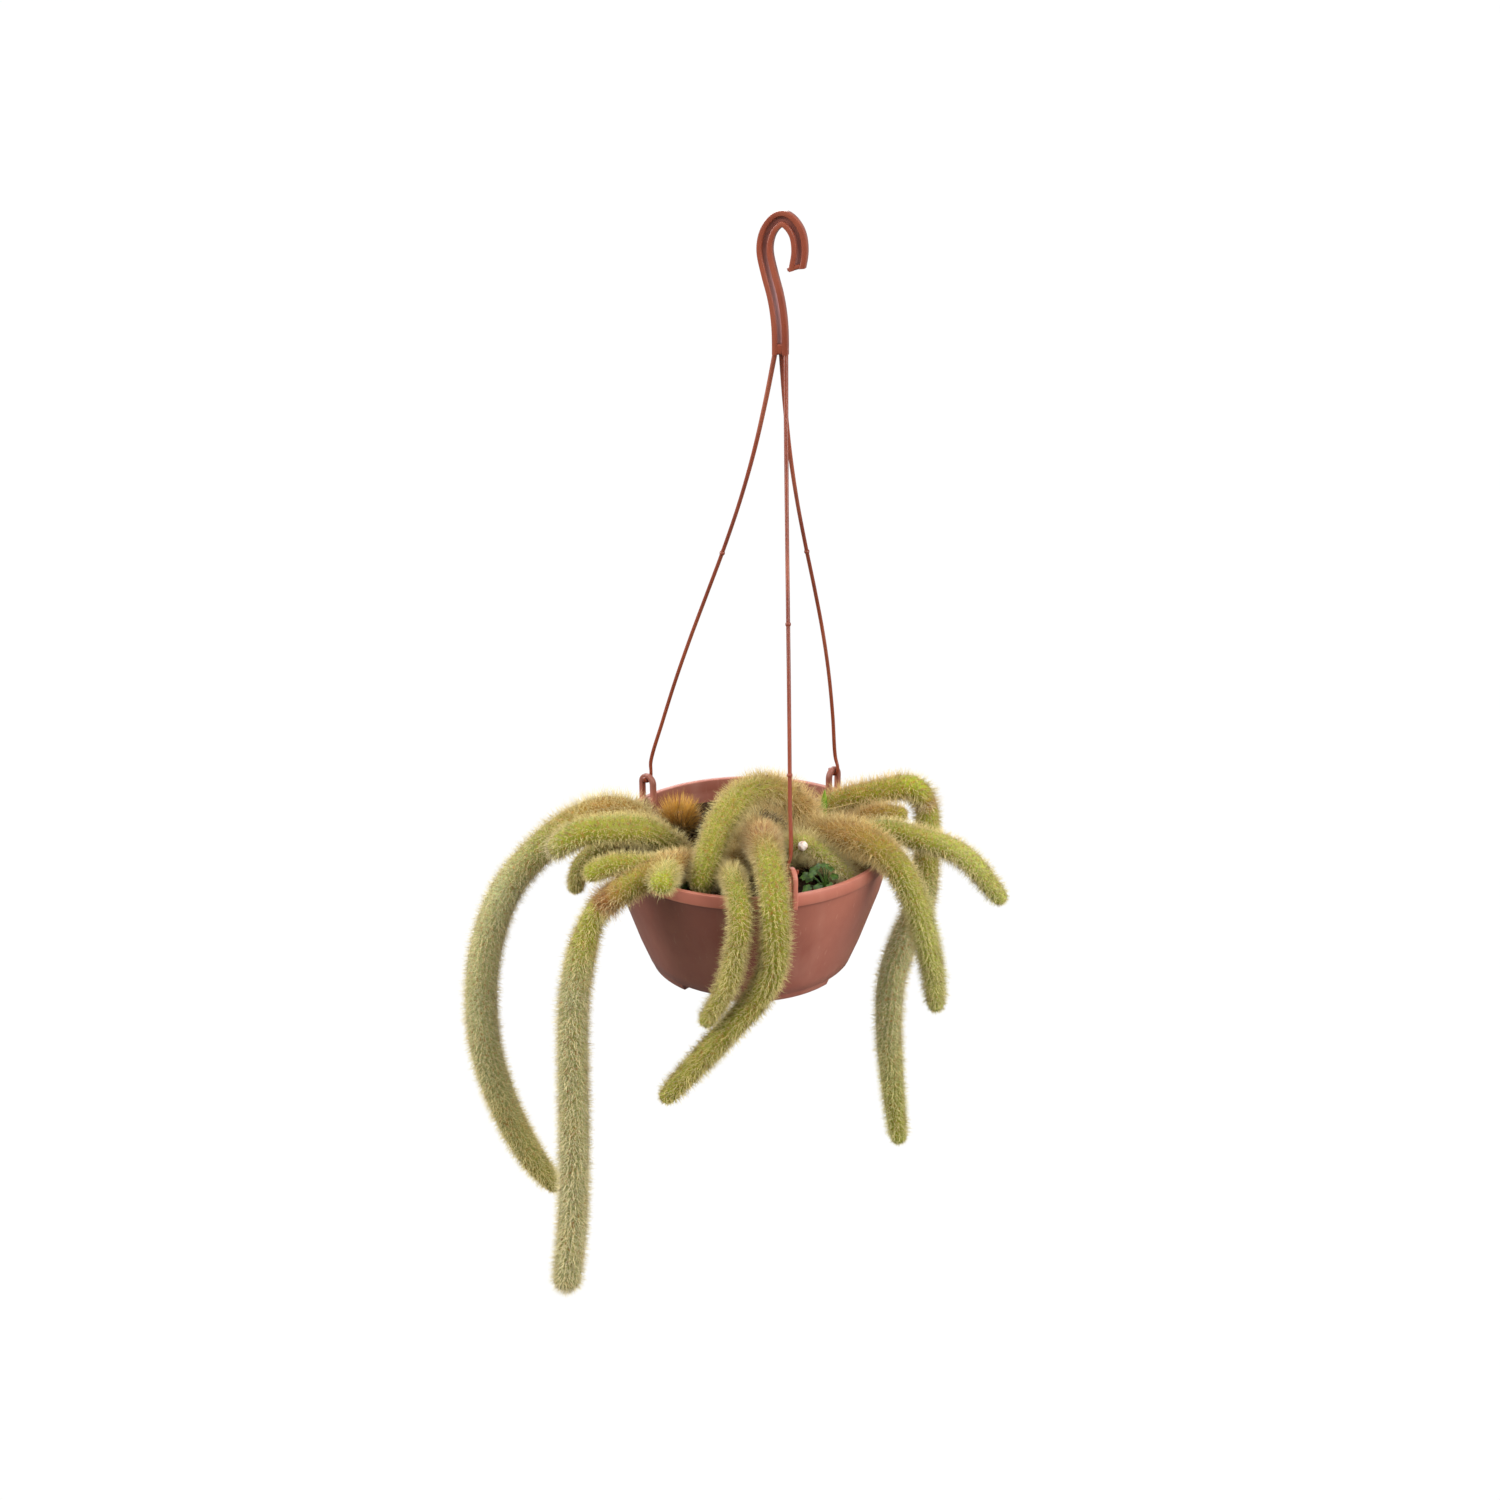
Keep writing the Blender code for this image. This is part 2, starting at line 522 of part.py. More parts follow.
def hook_rings():
    """Rings of the hook's H section: two flanges joined by a thin web."""
    half, depth = HOOK_BAND / 2, HOOK_DEPTH / 2
    inner, web = half - HOOK_FLANGE, HOOK_WEB / 2
    section = ((half, -depth), (half, depth), (inner, depth), (inner, web), (-inner, web),
               (-inner, depth), (-half, depth), (-half, -depth), (-inner, -depth),
               (-inner, -web), (inner, -web), (inner, -depth))
    points = smooth_route([(x, 0.0, z, 1.0) for x, z in HOOK_ROUTE], HOOK_RING_STEP)
    rings = []
    for k, point in enumerate(points):
        before = points[max(k - 1, 0)].xyz
        after = points[min(k + 1, len(points) - 1)].xyz
        ahead = (after - before).normalized() if k else HOOK_END
        across = ahead.cross(Vector((0.0, 1.0, 0.0)))
        rings.append([hook_point(point.xyz + across * u + Vector((0.0, v, 0.0))) for u, v in section])
    return rings

def make_block(foot, ahead, wide, heights, name):
    """A block of the hook's depth; its foot, direction, side limits and heights are in the hook's plane."""
    across = ahead.cross(Vector((0.0, 1.0, 0.0)))
    depth = HOOK_DEPTH / 2 - HOOK_INSET
    low, high = wide
    corners = ((low, -depth), (high, -depth), (high, depth), (low, depth))
    rings = []
    for height in heights:
        centre = Vector((foot[0], 0.0, foot[1])) + ahead * height
        rings.append([hook_point(centre + across * u + Vector((0.0, v, 0.0))) for u, v in corners])
    bm = bmesh.new()
    sweep(bm, rings)
    return finish_object(name, bm, HANGER_PLASTIC)

def make_hanger():
    """The crook with a lip at its end and a boss at its foot, and three strands, as one moulding."""
    bm = bmesh.new()
    sweep(bm, hook_rings())
    hanger = finish_object("hanger", bm, HANGER_PLASTIC)
    half = HOOK_BAND / 2
    lip_side = (HOOK_INSET - half, half + LIP_REACH)
    boss_side = (HOOK_INSET - half, half - HOOK_INSET)
    upright = Vector((0.0, 0.0, 1.0))
    pieces = [make_block(HOOK_ROUTE[0], HOOK_END, lip_side, (HOOK_INSET, LIP_HEIGHT), "lip"),
              make_block(HOOK_ROUTE[-1], upright, boss_side, (HOOK_INSET, BOSS_HEIGHT), "boss")]
    for name in EAR_ANGLES:
        points = strand_points(name)
        bm = bmesh.new()
        sweep(bm, round_rings(points, frames_along(points), STRAND_SIDES))
        pieces.append(finish_object("strand", bm, HANGER_PLASTIC))
    return boolean(hanger, pieces, "UNION")

def soil_height(radius, angle):
    """The soil's slightly uneven top."""
    swell = math.sin(3 * angle + 0.6) * math.cos(radius / SOIL_WAVE) + 0.6 * math.sin(5 * angle - 1.1)
    return SOIL_TOP + SOIL_BUMP * swell * min(1.0, radius / SOIL_CALM)

def make_soil():
    """Soil that fits the pot, with a plain hole for each root."""
    profile = bowl_inside(FIT_GAP)
    edge_z = SOIL_TOP - SOIL_EDGE_DROP
    gap = FIT_GAP / math.cos(math.pi / POT_SEGMENTS)
    profile.append((pot_radius(edge_z) - WALL_THICKNESS - gap, edge_z))
    profile += [(radius, SOIL_TOP) for radius in reversed(SOIL_RINGS)]
    soil = lathe(profile, POT_SEGMENTS, "soil", POTTING_SOIL)
    centre = pot_point(0.0, 0.0, 0.0)
    for vert in soil.data.vertices:
        place = (vert.co - centre) / MM
        if abs(place.z - SOIL_TOP) < 0.01:
            radius = math.hypot(place.x, place.y)
            height = soil_height(radius, math.atan2(place.y, place.x))
            vert.co.z = centre.z + height * MM
    sockets = [(root, ROOT_DEPTH, radius + ROOT_CLEAR, STEM_SIDES) for root, radius in root_places()]
    sockets += [(weed.root, WEED_DEPTH, WEED_STALK_RADIUS + ROOT_CLEAR, WEED_STALK_SIDES)
                for weed in WEEDS.values()]
    sockets.append((BLADE_ROOT, WEED_DEPTH, BLADE_WIDTH / 2 + ROOT_CLEAR, STEM_SIDES))
    holes = []
    for place, depth, radius, sides in sockets:
        low, high = SOIL_TOP - depth - FIT_GAP, SOIL_TOP + CUT_MARGIN
        holes.append(make_peg("hole", place, low, high, radius, sides, POTTING_SOIL))
    return boolean(soil, holes, "DIFFERENCE")

def root_places():
    """Where each stem stands in the soil, and the radius of its root."""
    places = [(stem.root, stem.route[0][3]) for stem in STEMS.values()]
    places.append((STUB_ROOT, STUB_RADIUS))
    return places

def stem_points(stem):
    """The whole line of a stem: root, then the smooth route to the last point."""
    radius = stem.route[0][3]
    collar = (*stem.root, SOIL_TOP + COLLAR, radius)
    foot = Vector((*stem.root, SOIL_TOP - ROOT_DEPTH, radius))
    return [foot] + smooth_route((collar,) + stem.route, RING_STEP)

def balls_along(name, line, margin):
    """Balls of the line's radius and a margin, at short steps along the line."""
    balls = []
    for a, b in zip(line, line[1:]):
        pieces = max(1, round((b.xyz - a.xyz).length / BALL_STEP))
        for k in range(pieces):
            point = a.lerp(b, k / pieces)
            balls.append((name, point.xyz, point.w + margin))
    return balls

def upright_balls(name, root, top, radius):
    """Balls that stand in a column from the soil up to a height."""
    line = [Vector((*root, SOIL_TOP, radius)), Vector((*root, top, radius))]
    return balls_along(name, line, 0.0)

def obstacles():
    """Balls along every stem, strand, ear and weed, that spines keep clear of."""
    balls = [("white_grain", grain_place(), GRAIN_RADIUS)]
    for name, stem in STEMS.items():
        for line in [stem_points(stem)] + [smooth_route(arm, RING_STEP) for arm in ARMS.get(name, ())]:
            balls += balls_along(name, rounded_tip(line), stem.spine)
            balls.append((name, line[-1].xyz, line[-1].w * TIP_REACH + stem.spine))
    for name, angle in EAR_ANGLES.items():
        balls += balls_along("hanger", strand_points(name), 0.0)
        outward, _ = ear_axes(angle)
        ear = outward * EAR_MID_RADIUS
        balls += upright_balls("pot", ear.xy, EAR_TOP, EAR_ARCH_RADIUS + EAR_BAR_WIDTH / 2 + FIT_GAP)
    stub_top = SOIL_TOP + STUB_SHAPE[-1][0]
    balls += upright_balls("stem_golden_stub", STUB_ROOT, stub_top, STUB_RADIUS + STUB_SPINE)
    for name, weed in WEEDS.items():
        balls += upright_balls(name, weed.root, 0.0, weed.length + WEED_SPARE)
    balls += upright_balls("grass_blade", BLADE_ROOT, SOIL_TOP + BLADE_SHAPE[-1][0], BLADE_WIDTH)
    return balls

def is_clear(point, owner, balls):
    """Whether a spine's point touches nothing but its own stem."""
    for name, place, reach in balls:
        if name != owner and (point - place).length < reach + SPINE_CLEAR:
            return False
    radius = math.hypot(point.x, point.y)
    if point.z < SOIL_TOP + SOIL_SPARE and radius < RIM_RADIUS:
        return False
    if -POT_DEPTH - POT_SPARE_LOW < point.z < POT_SPARE_HIGH:
        outer = pot_radius(point.z)
        inner = RIM_INNER_RADIUS - (RIM_RADIUS - outer)
        return not inner - POT_SPARE_INSIDE < radius < outer + POT_SPARE_OUTSIDE
    return True

def raise_spine(bm, face, place, ahead, length):
    """Raise a slim four-sided spine from the middle of a face."""
    normal = face.normal.copy()
    lean = normal * length + ahead * length * SPINE_LEAN
    raised = bmesh.ops.extrude_discrete_faces(bm, faces=[face])["faces"][0]
    for vert in raised.verts:
        vert.co = place + (vert.co - place).normalized() * SPINE_ROOT * MM
    point = bmesh.ops.poke(bm, faces=[raised])["verts"][0]
    point.co = place + lean * MM

def grow_tube(name, line, spine, balls, first_direction=None, bare_rings=0):
    """A stem's core with spines on alternate faces, up to the furthest point of its tip."""
    line = rounded_tip(line)
    frames = frames_along(line, first_direction)
    bm = bmesh.new()
    rows, cap = sweep(bm, round_rings(line, frames, STEM_SIDES))
    bmesh.ops.recalc_face_normals(bm, faces=bm.faces)
    bm.normal_update()
    chosen = []
    for k, row in enumerate(rows):
        if k < bare_rings:
            continue
        chosen += [(face, frames[k][0]) for j, face in enumerate(row) if (j + k) % 2 == 0]
    chosen.append((cap, Vector()))
    centre = pot_point(0.0, 0.0, 0.0)
    for face, ahead in chosen:
        place = face.calc_center_median()
        tip = (place - centre) / MM + face.normal * spine + ahead * spine * SPINE_LEAN
        if is_clear(tip, name, balls):
            raise_spine(bm, face, place, ahead, spine)
    return bm

def make_stem(name, stem, balls):
    """One stem of the cactus, with any arms that fork from it."""
    upright = Vector((0.0, 0.0, 1.0))
    bm = grow_tube(name, stem_points(stem), stem.spine, balls, upright, bare_rings=1)
    trunk = finish_object(name, bm, stem.finish)
    arms = []
    for route in ARMS.get(name, ()):
        line = smooth_route(route, RING_STEP)
        arm = grow_tube(name, line, stem.spine, balls, bare_rings=1)
        arms.append(finish_object("arm", arm, stem.finish))
    if arms:
        boolean(trunk, arms, "UNION")
    return trunk

def make_golden_stub():
    """A low round stub whose long spines stand up and spread."""
    rng = random.Random(SEED)
    foot = Vector((*STUB_ROOT, SOIL_TOP - ROOT_DEPTH, STUB_RADIUS))
    line = [foot] + [Vector((*STUB_ROOT, SOIL_TOP + z, STUB_RADIUS * share)) for z, share in STUB_SHAPE]
    frames = frames_along(line)
    bm = bmesh.new()
    rows, cap = sweep(bm, round_rings(line, frames, STEM_SIDES))
    bmesh.ops.recalc_face_normals(bm, faces=bm.faces)
    bm.normal_update()
    for face in [face for row in rows[1:] for face in row] + [cap]:
        place = face.calc_center_median()
        length = STUB_SPINE * rng.uniform(*STUB_SPINE_SHARES)
        raise_spine(bm, face, place, Vector((0.0, 0.0, STUB_LEAN / SPINE_LEAN)), length)
    return finish_object("stem_golden_stub", bm, GOLDEN_STEM)

def make_leaf(weed, bearing, height, reach):
    """A small oval leaf on a thin stalk, as two closed pieces that overlap."""
    a = math.radians(bearing)
    out = Vector((math.cos(a), math.sin(a), 0.0))
    across = Vector((-out.y, out.x, 0.0))
    start = Vector((*weed.root, SOIL_TOP + LEAF_STALK_FOOT))
    joint = Vector((*weed.root, SOIL_TOP + height)) + out * reach * LEAF_STALK_REACH
    line = [Vector((*start.lerp(joint, t), LEAF_STALK_RADIUS)) for t in (0.0, 0.6, 1.0)]
    bm = bmesh.new()
    sweep(bm, round_rings(line, frames_along(line), LEAF_STALK_SIDES))
    stalk = finish_object("stalk", bm, WEED_LEAF)
    rings = []
    for lift in (-LEAF_THICKNESS / 2, LEAF_THICKNESS / 2):
        ring = []
        for k in range(LEAF_SIDES):
            turn = math.tau * k / LEAF_SIDES
            along = weed.length / 2 * (1.0 - LEAF_BACK * math.cos(turn))
            wide = LEAF_HALF_WIDTH * weed.length * math.sin(turn)
            place = joint + out * (along - LEAF_STALK_RADIUS) + across * wide
            ring.append(pot_point(place.x, place.y, place.z - LEAF_DROOP * along + lift))
        rings.append(ring)
    bm = bmesh.new()
    sweep(bm, rings)
    return [stalk, finish_object("leaf", bm, WEED_LEAF)]

def make_weed(name, weed):
    """A weed: an upright stalk in the soil with leaves fused to it."""
    top = SOIL_TOP + WEED_STALK_SHARE * max(height for _, height, _ in weed.leaves)
    stalk = make_peg(name, weed.root, SOIL_TOP - WEED_DEPTH, top, WEED_STALK_RADIUS, WEED_STALK_SIDES,
                     WEED_LEAF)
    pieces = []
    for leaf in weed.leaves:
        pieces += make_leaf(weed, *leaf)
    return boolean(stalk, pieces, "UNION")

def make_grass_blade():
    """A flat green blade that tapers to a point and stands in the soil."""
    thick = BLADE_THICKNESS / 2
    x, y = BLADE_ROOT
    rings = []
    for height, share, lean in BLADE_SHAPE:
        half = BLADE_WIDTH / 2 * share
        corners = ((-half, -thick), (half, -thick), (half, thick), (-half, thick))
        rings.append([pot_point(x + lean + u, y + v, SOIL_TOP + height) for u, v in corners])
    bm = bmesh.new()
    sweep(bm, rings)
    return finish_object("grass_blade", bm, WEED_LEAF)

def grain_place():
    """The grain's centre: caught on the side of the stem inside the pot, closer by what the facets lack."""
    x, y, z, radius = STEMS["stem_pot_right"].route[GRAIN_SEAT]
    return Vector((x, y, z)) + GRAIN_SIDE.normalized() * (radius + GRAIN_RADIUS - GRAIN_SINK)

def make_grain():
    """One rough white grain."""
    bm = bmesh.new()
    bmesh.ops.create_icosphere(bm, subdivisions=1, radius=GRAIN_RADIUS * MM)
    bmesh.ops.scale(bm, vec=GRAIN_SHAPE, verts=bm.verts)
    bmesh.ops.translate(bm, vec=pot_point(*grain_place()), verts=bm.verts)
    return finish_object("white_grain", bm, WHITE_GRAIN)

def main():
    clear_scene()
    balls = obstacles()
    make_pot()
    make_hanger()
    make_soil()
    for name, stem in STEMS.items():
        make_stem(name, stem, balls)
    make_golden_stub()
    for name, weed in WEEDS.items():
        make_weed(name, weed)
    make_grass_blade()
    make_grain()

main()
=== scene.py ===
"""The looks of a monkey tail cactus in its hanging pot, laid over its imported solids.

Lines and sizes are in millimetres from the centre of the pot's rim: x to the right, y to the
back, z up. They become metres in the frame when a mesh is written.
"""

from __future__ import annotations

import functools
import logging
import math
from dataclasses import dataclass
from enum import Enum
from typing import Iterable, Optional, Sequence

import bmesh
import bpy
import numpy as np
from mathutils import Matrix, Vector, noise


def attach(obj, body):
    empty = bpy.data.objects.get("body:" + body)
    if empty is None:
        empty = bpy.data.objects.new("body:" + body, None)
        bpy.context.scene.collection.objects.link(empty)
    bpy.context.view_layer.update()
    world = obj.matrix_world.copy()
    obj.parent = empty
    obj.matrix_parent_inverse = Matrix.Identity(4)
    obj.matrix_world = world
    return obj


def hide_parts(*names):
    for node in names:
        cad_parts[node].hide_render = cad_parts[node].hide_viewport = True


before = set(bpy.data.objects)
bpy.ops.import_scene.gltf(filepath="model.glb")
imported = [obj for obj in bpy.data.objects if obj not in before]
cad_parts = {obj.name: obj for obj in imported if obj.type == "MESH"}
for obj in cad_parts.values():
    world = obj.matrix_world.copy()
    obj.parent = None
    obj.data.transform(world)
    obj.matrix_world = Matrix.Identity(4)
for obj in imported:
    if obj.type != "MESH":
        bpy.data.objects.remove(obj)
LOG = logging.getLogger("cactus")

MM = 0.001
RIM_CENTRE = np.array((-18.0, 0.0, -407.4))
BODY = "root"
TINT = "tint"
UV_NAME = "areoles"

UP = np.array((0.0, 0.0, 1.0))
ACROSS = np.array((0.0, 1.0, 0.0))
SOIL_TOP = -16.0
SINK = 6.0
MERGE = 0.000004
POINT = 0.001
# painted light at each spine's point and painted shade at its root
POINT_SHADE = 1.15
ROOT_SHADE = 0.7

BMesh = bmesh.types.BMesh
Material = bpy.types.Material
Mesh = bpy.types.Mesh
Socket = bpy.types.NodeSocket
Knots = Sequence[Sequence[float]]
Span = tuple[float, float]
Colour = tuple[float, float, float]


def metres(points: np.ndarray) -> np.ndarray:
    """Turn points in millimetres from the rim's centre into metres in the frame."""
    return (np.asarray(points, float) + RIM_CENTRE) * MM


def linear(colour: Sequence[float]) -> Colour:
    """Turn a colour of 0 to 255, as it looks on a screen, into linear light.

    Args:
        colour: red, green and blue.

    Returns:
        The same colour as shares of full linear light.
    """
    channels = []
    for value in colour:
        share = value / 255.0
        channels.append(share / 12.92 if share <= 0.04045 else ((share + 0.055) / 1.055) ** 2.4)
    return tuple(channels)


def unit(vectors: np.ndarray) -> np.ndarray:
    """Scale each vector of an array to length one."""
    return vectors / np.maximum(np.linalg.norm(vectors, axis=-1, keepdims=True), 1e-9)


def compass(degrees: float) -> tuple[np.ndarray, np.ndarray]:
    """Give the level directions out and aside at a bearing from the front, to the right.

    Args:
        degrees: the bearing about the pot's axis.

    Returns:
        The direction away from the axis, and the one square to it.
    """
    a = math.radians(degrees)
    return np.array((math.sin(a), -math.cos(a), 0.0)), np.array((math.cos(a), math.sin(a), 0.0))


class Slot(Enum):
    """Material slots of the record."""

    POT = "pot_plastic"
    HANGER = "hanger_plastic"
    SOIL = "potting_soil"
    GREEN = "green_stem"
    GREY = "grey_green_stem"
    GOLD = "golden_stem"
    WEED = "weed_leaf"
    GRAIN = "white_grain"


class Tone(Enum):
    """Colours of skin and hair, as they look in soft daylight."""

    FRESH = (166, 178, 34)
    YOUNG = (150, 154, 36)
    MOSS = (128, 134, 40)
    GREY_GREEN = (164, 168, 104)
    PALE_GREEN = (190, 194, 134)
    LIME = (188, 196, 84)
    DARK = (82, 84, 36)
    RUST = (158, 98, 42)
    AMBER = (170, 124, 48)
    BRONZE = (104, 72, 26)
    WHITE = (236, 232, 204)
    STRAW = (220, 200, 108)
    YELLOW = (208, 196, 76)
    GOLD = (214, 162, 58)
    TAN = (184, 144, 72)
    SAND = (246, 208, 138)
    RUSSET = (182, 116, 62)
    PINK = (232, 204, 186)
    CREAM = (246, 230, 168)
    LEMON = (202, 214, 116)


@dataclass(frozen=True)
class Run:
    """A run of colours along a stem, from 0 at the root to 1 at the tip."""

    places: tuple[float, ...]
    tones: tuple[Tone, ...]

    @classmethod
    def of(cls, words: str) -> Run:
        """Read a run such as "0 AMBER 0.4 MOSS 1 YOUNG"."""
        parts = words.split()
        return cls(tuple(float(part) for part in parts[::2]), tuple(Tone[part] for part in parts[1::2]))

    def at(self, shares: np.ndarray) -> np.ndarray:
        """Give one linear colour for each share of the stem's length."""
        colours = np.array([linear(tone.value) for tone in self.tones])
        return np.stack([np.interp(shares, self.places, channel) for channel in colours.T], axis=-1)


@dataclass
class Route:
    """A smooth line with a radius, through a few points of x, y, z and radius."""

    knots: Knots
    step: float
    fineness: int = 16
    easing: float = 0.5

    def rings(self) -> np.ndarray:
        """Give points of x, y, z and radius at even steps along the line.

        Returns:
            One row for each point.
        """
        knots = [np.array(knot, float) for knot in self.knots]
        knots.insert(0, 2 * knots[0] - knots[1])
        knots.append(2 * knots[-1] - knots[-2])
        fine = []
        share = np.linspace(0.0, 1.0, self.fineness, endpoint=False)[:, None]
        for a, b, c, d in zip(knots, knots[1:], knots[2:], knots[3:]):
            t1 = np.linalg.norm(b - a) ** self.easing
            t2 = t1 + np.linalg.norm(c - b) ** self.easing
            t3 = t2 + np.linalg.norm(d - c) ** self.easing
            t = t1 + (t2 - t1) * share
            ab = a + (b - a) * t / t1
            bc = b + (c - b) * (t - t1) / (t2 - t1)
            cd = c + (d - c) * (t - t2) / (t3 - t2)
            abc = ab + (bc - ab) * t / t2
            bcd = bc + (cd - bc) * (t - t1) / (t3 - t1)
            fine.append(abc + (bcd - abc) * (t - t1) / (t2 - t1))
        line = np.vstack(fine + [knots[-2][None, :]])
        gaps = np.linalg.norm(np.diff(line[:, :3], axis=0), axis=1)
        along = np.concatenate(([0.0], np.cumsum(gaps)))
        count = max(3, round(along[-1] / self.step))
        places = np.linspace(0.0, along[-1], count + 1)
        return np.stack([np.interp(places, along, line[:, k]) for k in range(4)], axis=-1)


def frames(centres: np.ndarray) -> tuple[np.ndarray, np.ndarray, np.ndarray]:
    """Find directions along a line that turn as little as they can.

    Args:
        centres: points along the line.

    Returns:
        The direction ahead, the side and the third axis at each point.
    """
    ahead = unit(np.gradient(centres, axis=0))
    runs_across = abs(ahead[0][0]) > 0.9
    side = ACROSS if runs_across else np.array((1.0, 0.0, 0.0))
    sides = []
    for direction in ahead:
        side = unit(side - direction * side.dot(direction))
        sides.append(side)
    sides = np.array(sides)
    return ahead, sides, np.cross(ahead, sides)


def read_points(mesh: Mesh) -> np.ndarray:
    """Give the places of a mesh's vertices in millimetres in the frame."""
    return np.array([vert.co for vert in mesh.vertices]) / MM


def write_points(mesh: Mesh, points: np.ndarray) -> None:
    """Move a mesh's vertices to points in millimetres from the rim's centre."""
    mesh.vertices.foreach_set("co", metres(points).astype(np.float32).ravel())
    mesh.update()


def set_tint(mesh: Mesh, colours: np.ndarray) -> None:
    """Store a linear colour for each vertex of a mesh.

    Args:
        mesh: the mesh.
        colours: one row of red, green and blue for each vertex.
    """
    layer = mesh.attributes.get(TINT) or mesh.attributes.new(TINT, "FLOAT_COLOR", "POINT")
    full = np.ones((len(colours), 4), np.float32)
    full[:, :3] = colours
    layer.data.foreach_set("color", full.ravel())


def roll_up(rings: np.ndarray, tints: Optional[np.ndarray] = None,
            cells: Span = (1.0, 1.0)) -> BMesh:
    """Roll a grid into a closed tube.

    Args:
        rings: points in metres, ring by ring along the tube.
        tints: one colour for each ring, if the tube's finish needs it.
        cells: how far the UV map counts along and round the tube.

    Returns:
        The tube, with both ends closed and its faces pointing out.
    """
    count, around, _ = rings.shape
    bm = bmesh.new()
    bm.loops.layers.uv.new(UV_NAME)
    bmesh.ops.create_grid(bm, x_segments=count - 1, y_segments=around, size=0.5, calc_uvs=True)
    uv = bm.loops.layers.uv.active
    colour = bm.verts.layers.float_color.new(TINT) if tints is not None else None
    for face in bm.faces:
        for loop in face.loops:
            loop[uv].uv = (loop[uv].uv[0] * cells[0], loop[uv].uv[1] * cells[1])
    for vert in bm.verts:
        i = round((vert.co.x + 0.5) * (count - 1))
        j = round((vert.co.y + 0.5) * around) % around
        vert.co = rings[i, j]
        if colour is not None:
            vert[colour] = (*tints[i], 1.0)
    bmesh.ops.remove_doubles(bm, verts=bm.verts, dist=MERGE)
    bmesh.ops.holes_fill(bm, edges=[edge for edge in bm.edges if edge.is_boundary], sides=0)
    bmesh.ops.recalc_face_normals(bm, faces=bm.faces)
    return bm


def round_tube(line: np.ndarray, sides: int) -> np.ndarray:
    """Give rings in metres round a line.

    Args:
        line: points of x, y, z and radius.
        sides: how many points each ring has.

    Returns:
        The rings, as roll_up takes them.
    """
    _, side, third = frames(line[:, :3])
    turn = np.arange(sides) * math.tau / sides
    offset = side[:, None] * np.cos(turn)[:, None] + third[:, None] * np.sin(turn)[:, None]
    return metres(line[:, None, :3] + offset * line[:, None, 3:4])


def turn_round(points: Iterable[Sequence[float]], centre: Sequence[float], steps: int,
               merge: float) -> BMesh:
    """Spin an outline about an upright axis.

    Args:
        points: the outline's points, in metres.
        centre: a point of the axis, in metres.
        steps: how many steps the full turn takes.
        merge: how near points become one, in metres.

    Returns:
        The turned shape, with its faces pointing out.
    """
    bm = bmesh.new()
    verts = [bm.verts.new(point) for point in points]
    edges = [bm.edges.new(pair) for pair in zip(verts, verts[1:])]
    bmesh.ops.spin(bm, geom=verts + edges, cent=centre, axis=(0, 0, 1), angle=math.tau, steps=steps,
                   use_merge=True)
    bmesh.ops.remove_doubles(bm, verts=bm.verts, dist=merge)
    bmesh.ops.recalc_face_normals(bm, faces=bm.faces)
    return bm


def soft_cube(soft: float, segments: int) -> BMesh:
    """Make a cube of size one with bevelled edges.

    Args:
        soft: how far the bevel reaches, as a share of the cube.
        segments: how many steps the bevel has.

    Returns:
        The cube about the origin.
    """
    bm = bmesh.new()
    bmesh.ops.create_cube(bm, size=1.0)
    bmesh.ops.bevel(bm, geom=bm.edges[:], offset=soft, affect="EDGES", segments=segments, profile=0.5,
                    material=-1)
    return bm


def merge_into(bm: BMesh, other: BMesh) -> None:
    """Add another mesh in work to this one, and free it.

    Args:
        bm: the mesh that grows.
        other: the mesh that is used up.
    """
    scrap = bpy.data.meshes.new("scrap")
    other.to_mesh(scrap)
    other.free()
    bm.from_mesh(scrap)
    bpy.data.meshes.remove(scrap)


def add_object(name: str, data: bpy.types.ID) -> bpy.types.Object:
    """Put a mesh, lamp or camera in the scene.

    Args:
        name: the new object's name.
        data: the mesh, lamp or camera.

    Returns:
        The object.
    """
    thing = bpy.data.objects.new(name, data)
    bpy.context.scene.collection.objects.link(thing)
    return thing


def make_piece(name: str, mesh: Mesh, slot: Slot, finish: Material,
               *stands_for: str) -> None:
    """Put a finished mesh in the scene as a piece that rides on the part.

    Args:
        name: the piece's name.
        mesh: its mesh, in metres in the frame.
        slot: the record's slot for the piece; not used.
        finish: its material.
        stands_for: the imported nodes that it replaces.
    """
    mesh.materials.clear()
    mesh.materials.append(finish)
    piece = add_object(name, mesh)
    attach(piece, BODY)
    if stands_for:
        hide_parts(*stands_for)
    LOG.info("%s: %d faces", name, len(mesh.polygons))


def settle(bm: BMesh, name: str, smooth_angle: float = 40.0) -> Mesh:
    """Turn a mesh in work into a smooth-shaded mesh, and free it.

    Args:
        bm: the mesh in work.
        name: the new mesh's name.
        smooth_angle: edges that turn by more degrees than this stay sharp.

    Returns:
        The new mesh.
    """
    mesh = bpy.data.meshes.new(name)
    bm.to_mesh(mesh)
    bm.free()
    mesh.shade_smooth()
    mesh.set_sharp_from_angle(angle=math.radians(smooth_angle))
    return mesh


def finished(holder: bpy.types.Object) -> Mesh:
    """Give an object's mesh with its modifiers applied."""
    return bpy.data.meshes.new_from_object(holder.evaluated_get(bpy.context.evaluated_depsgraph_get()))


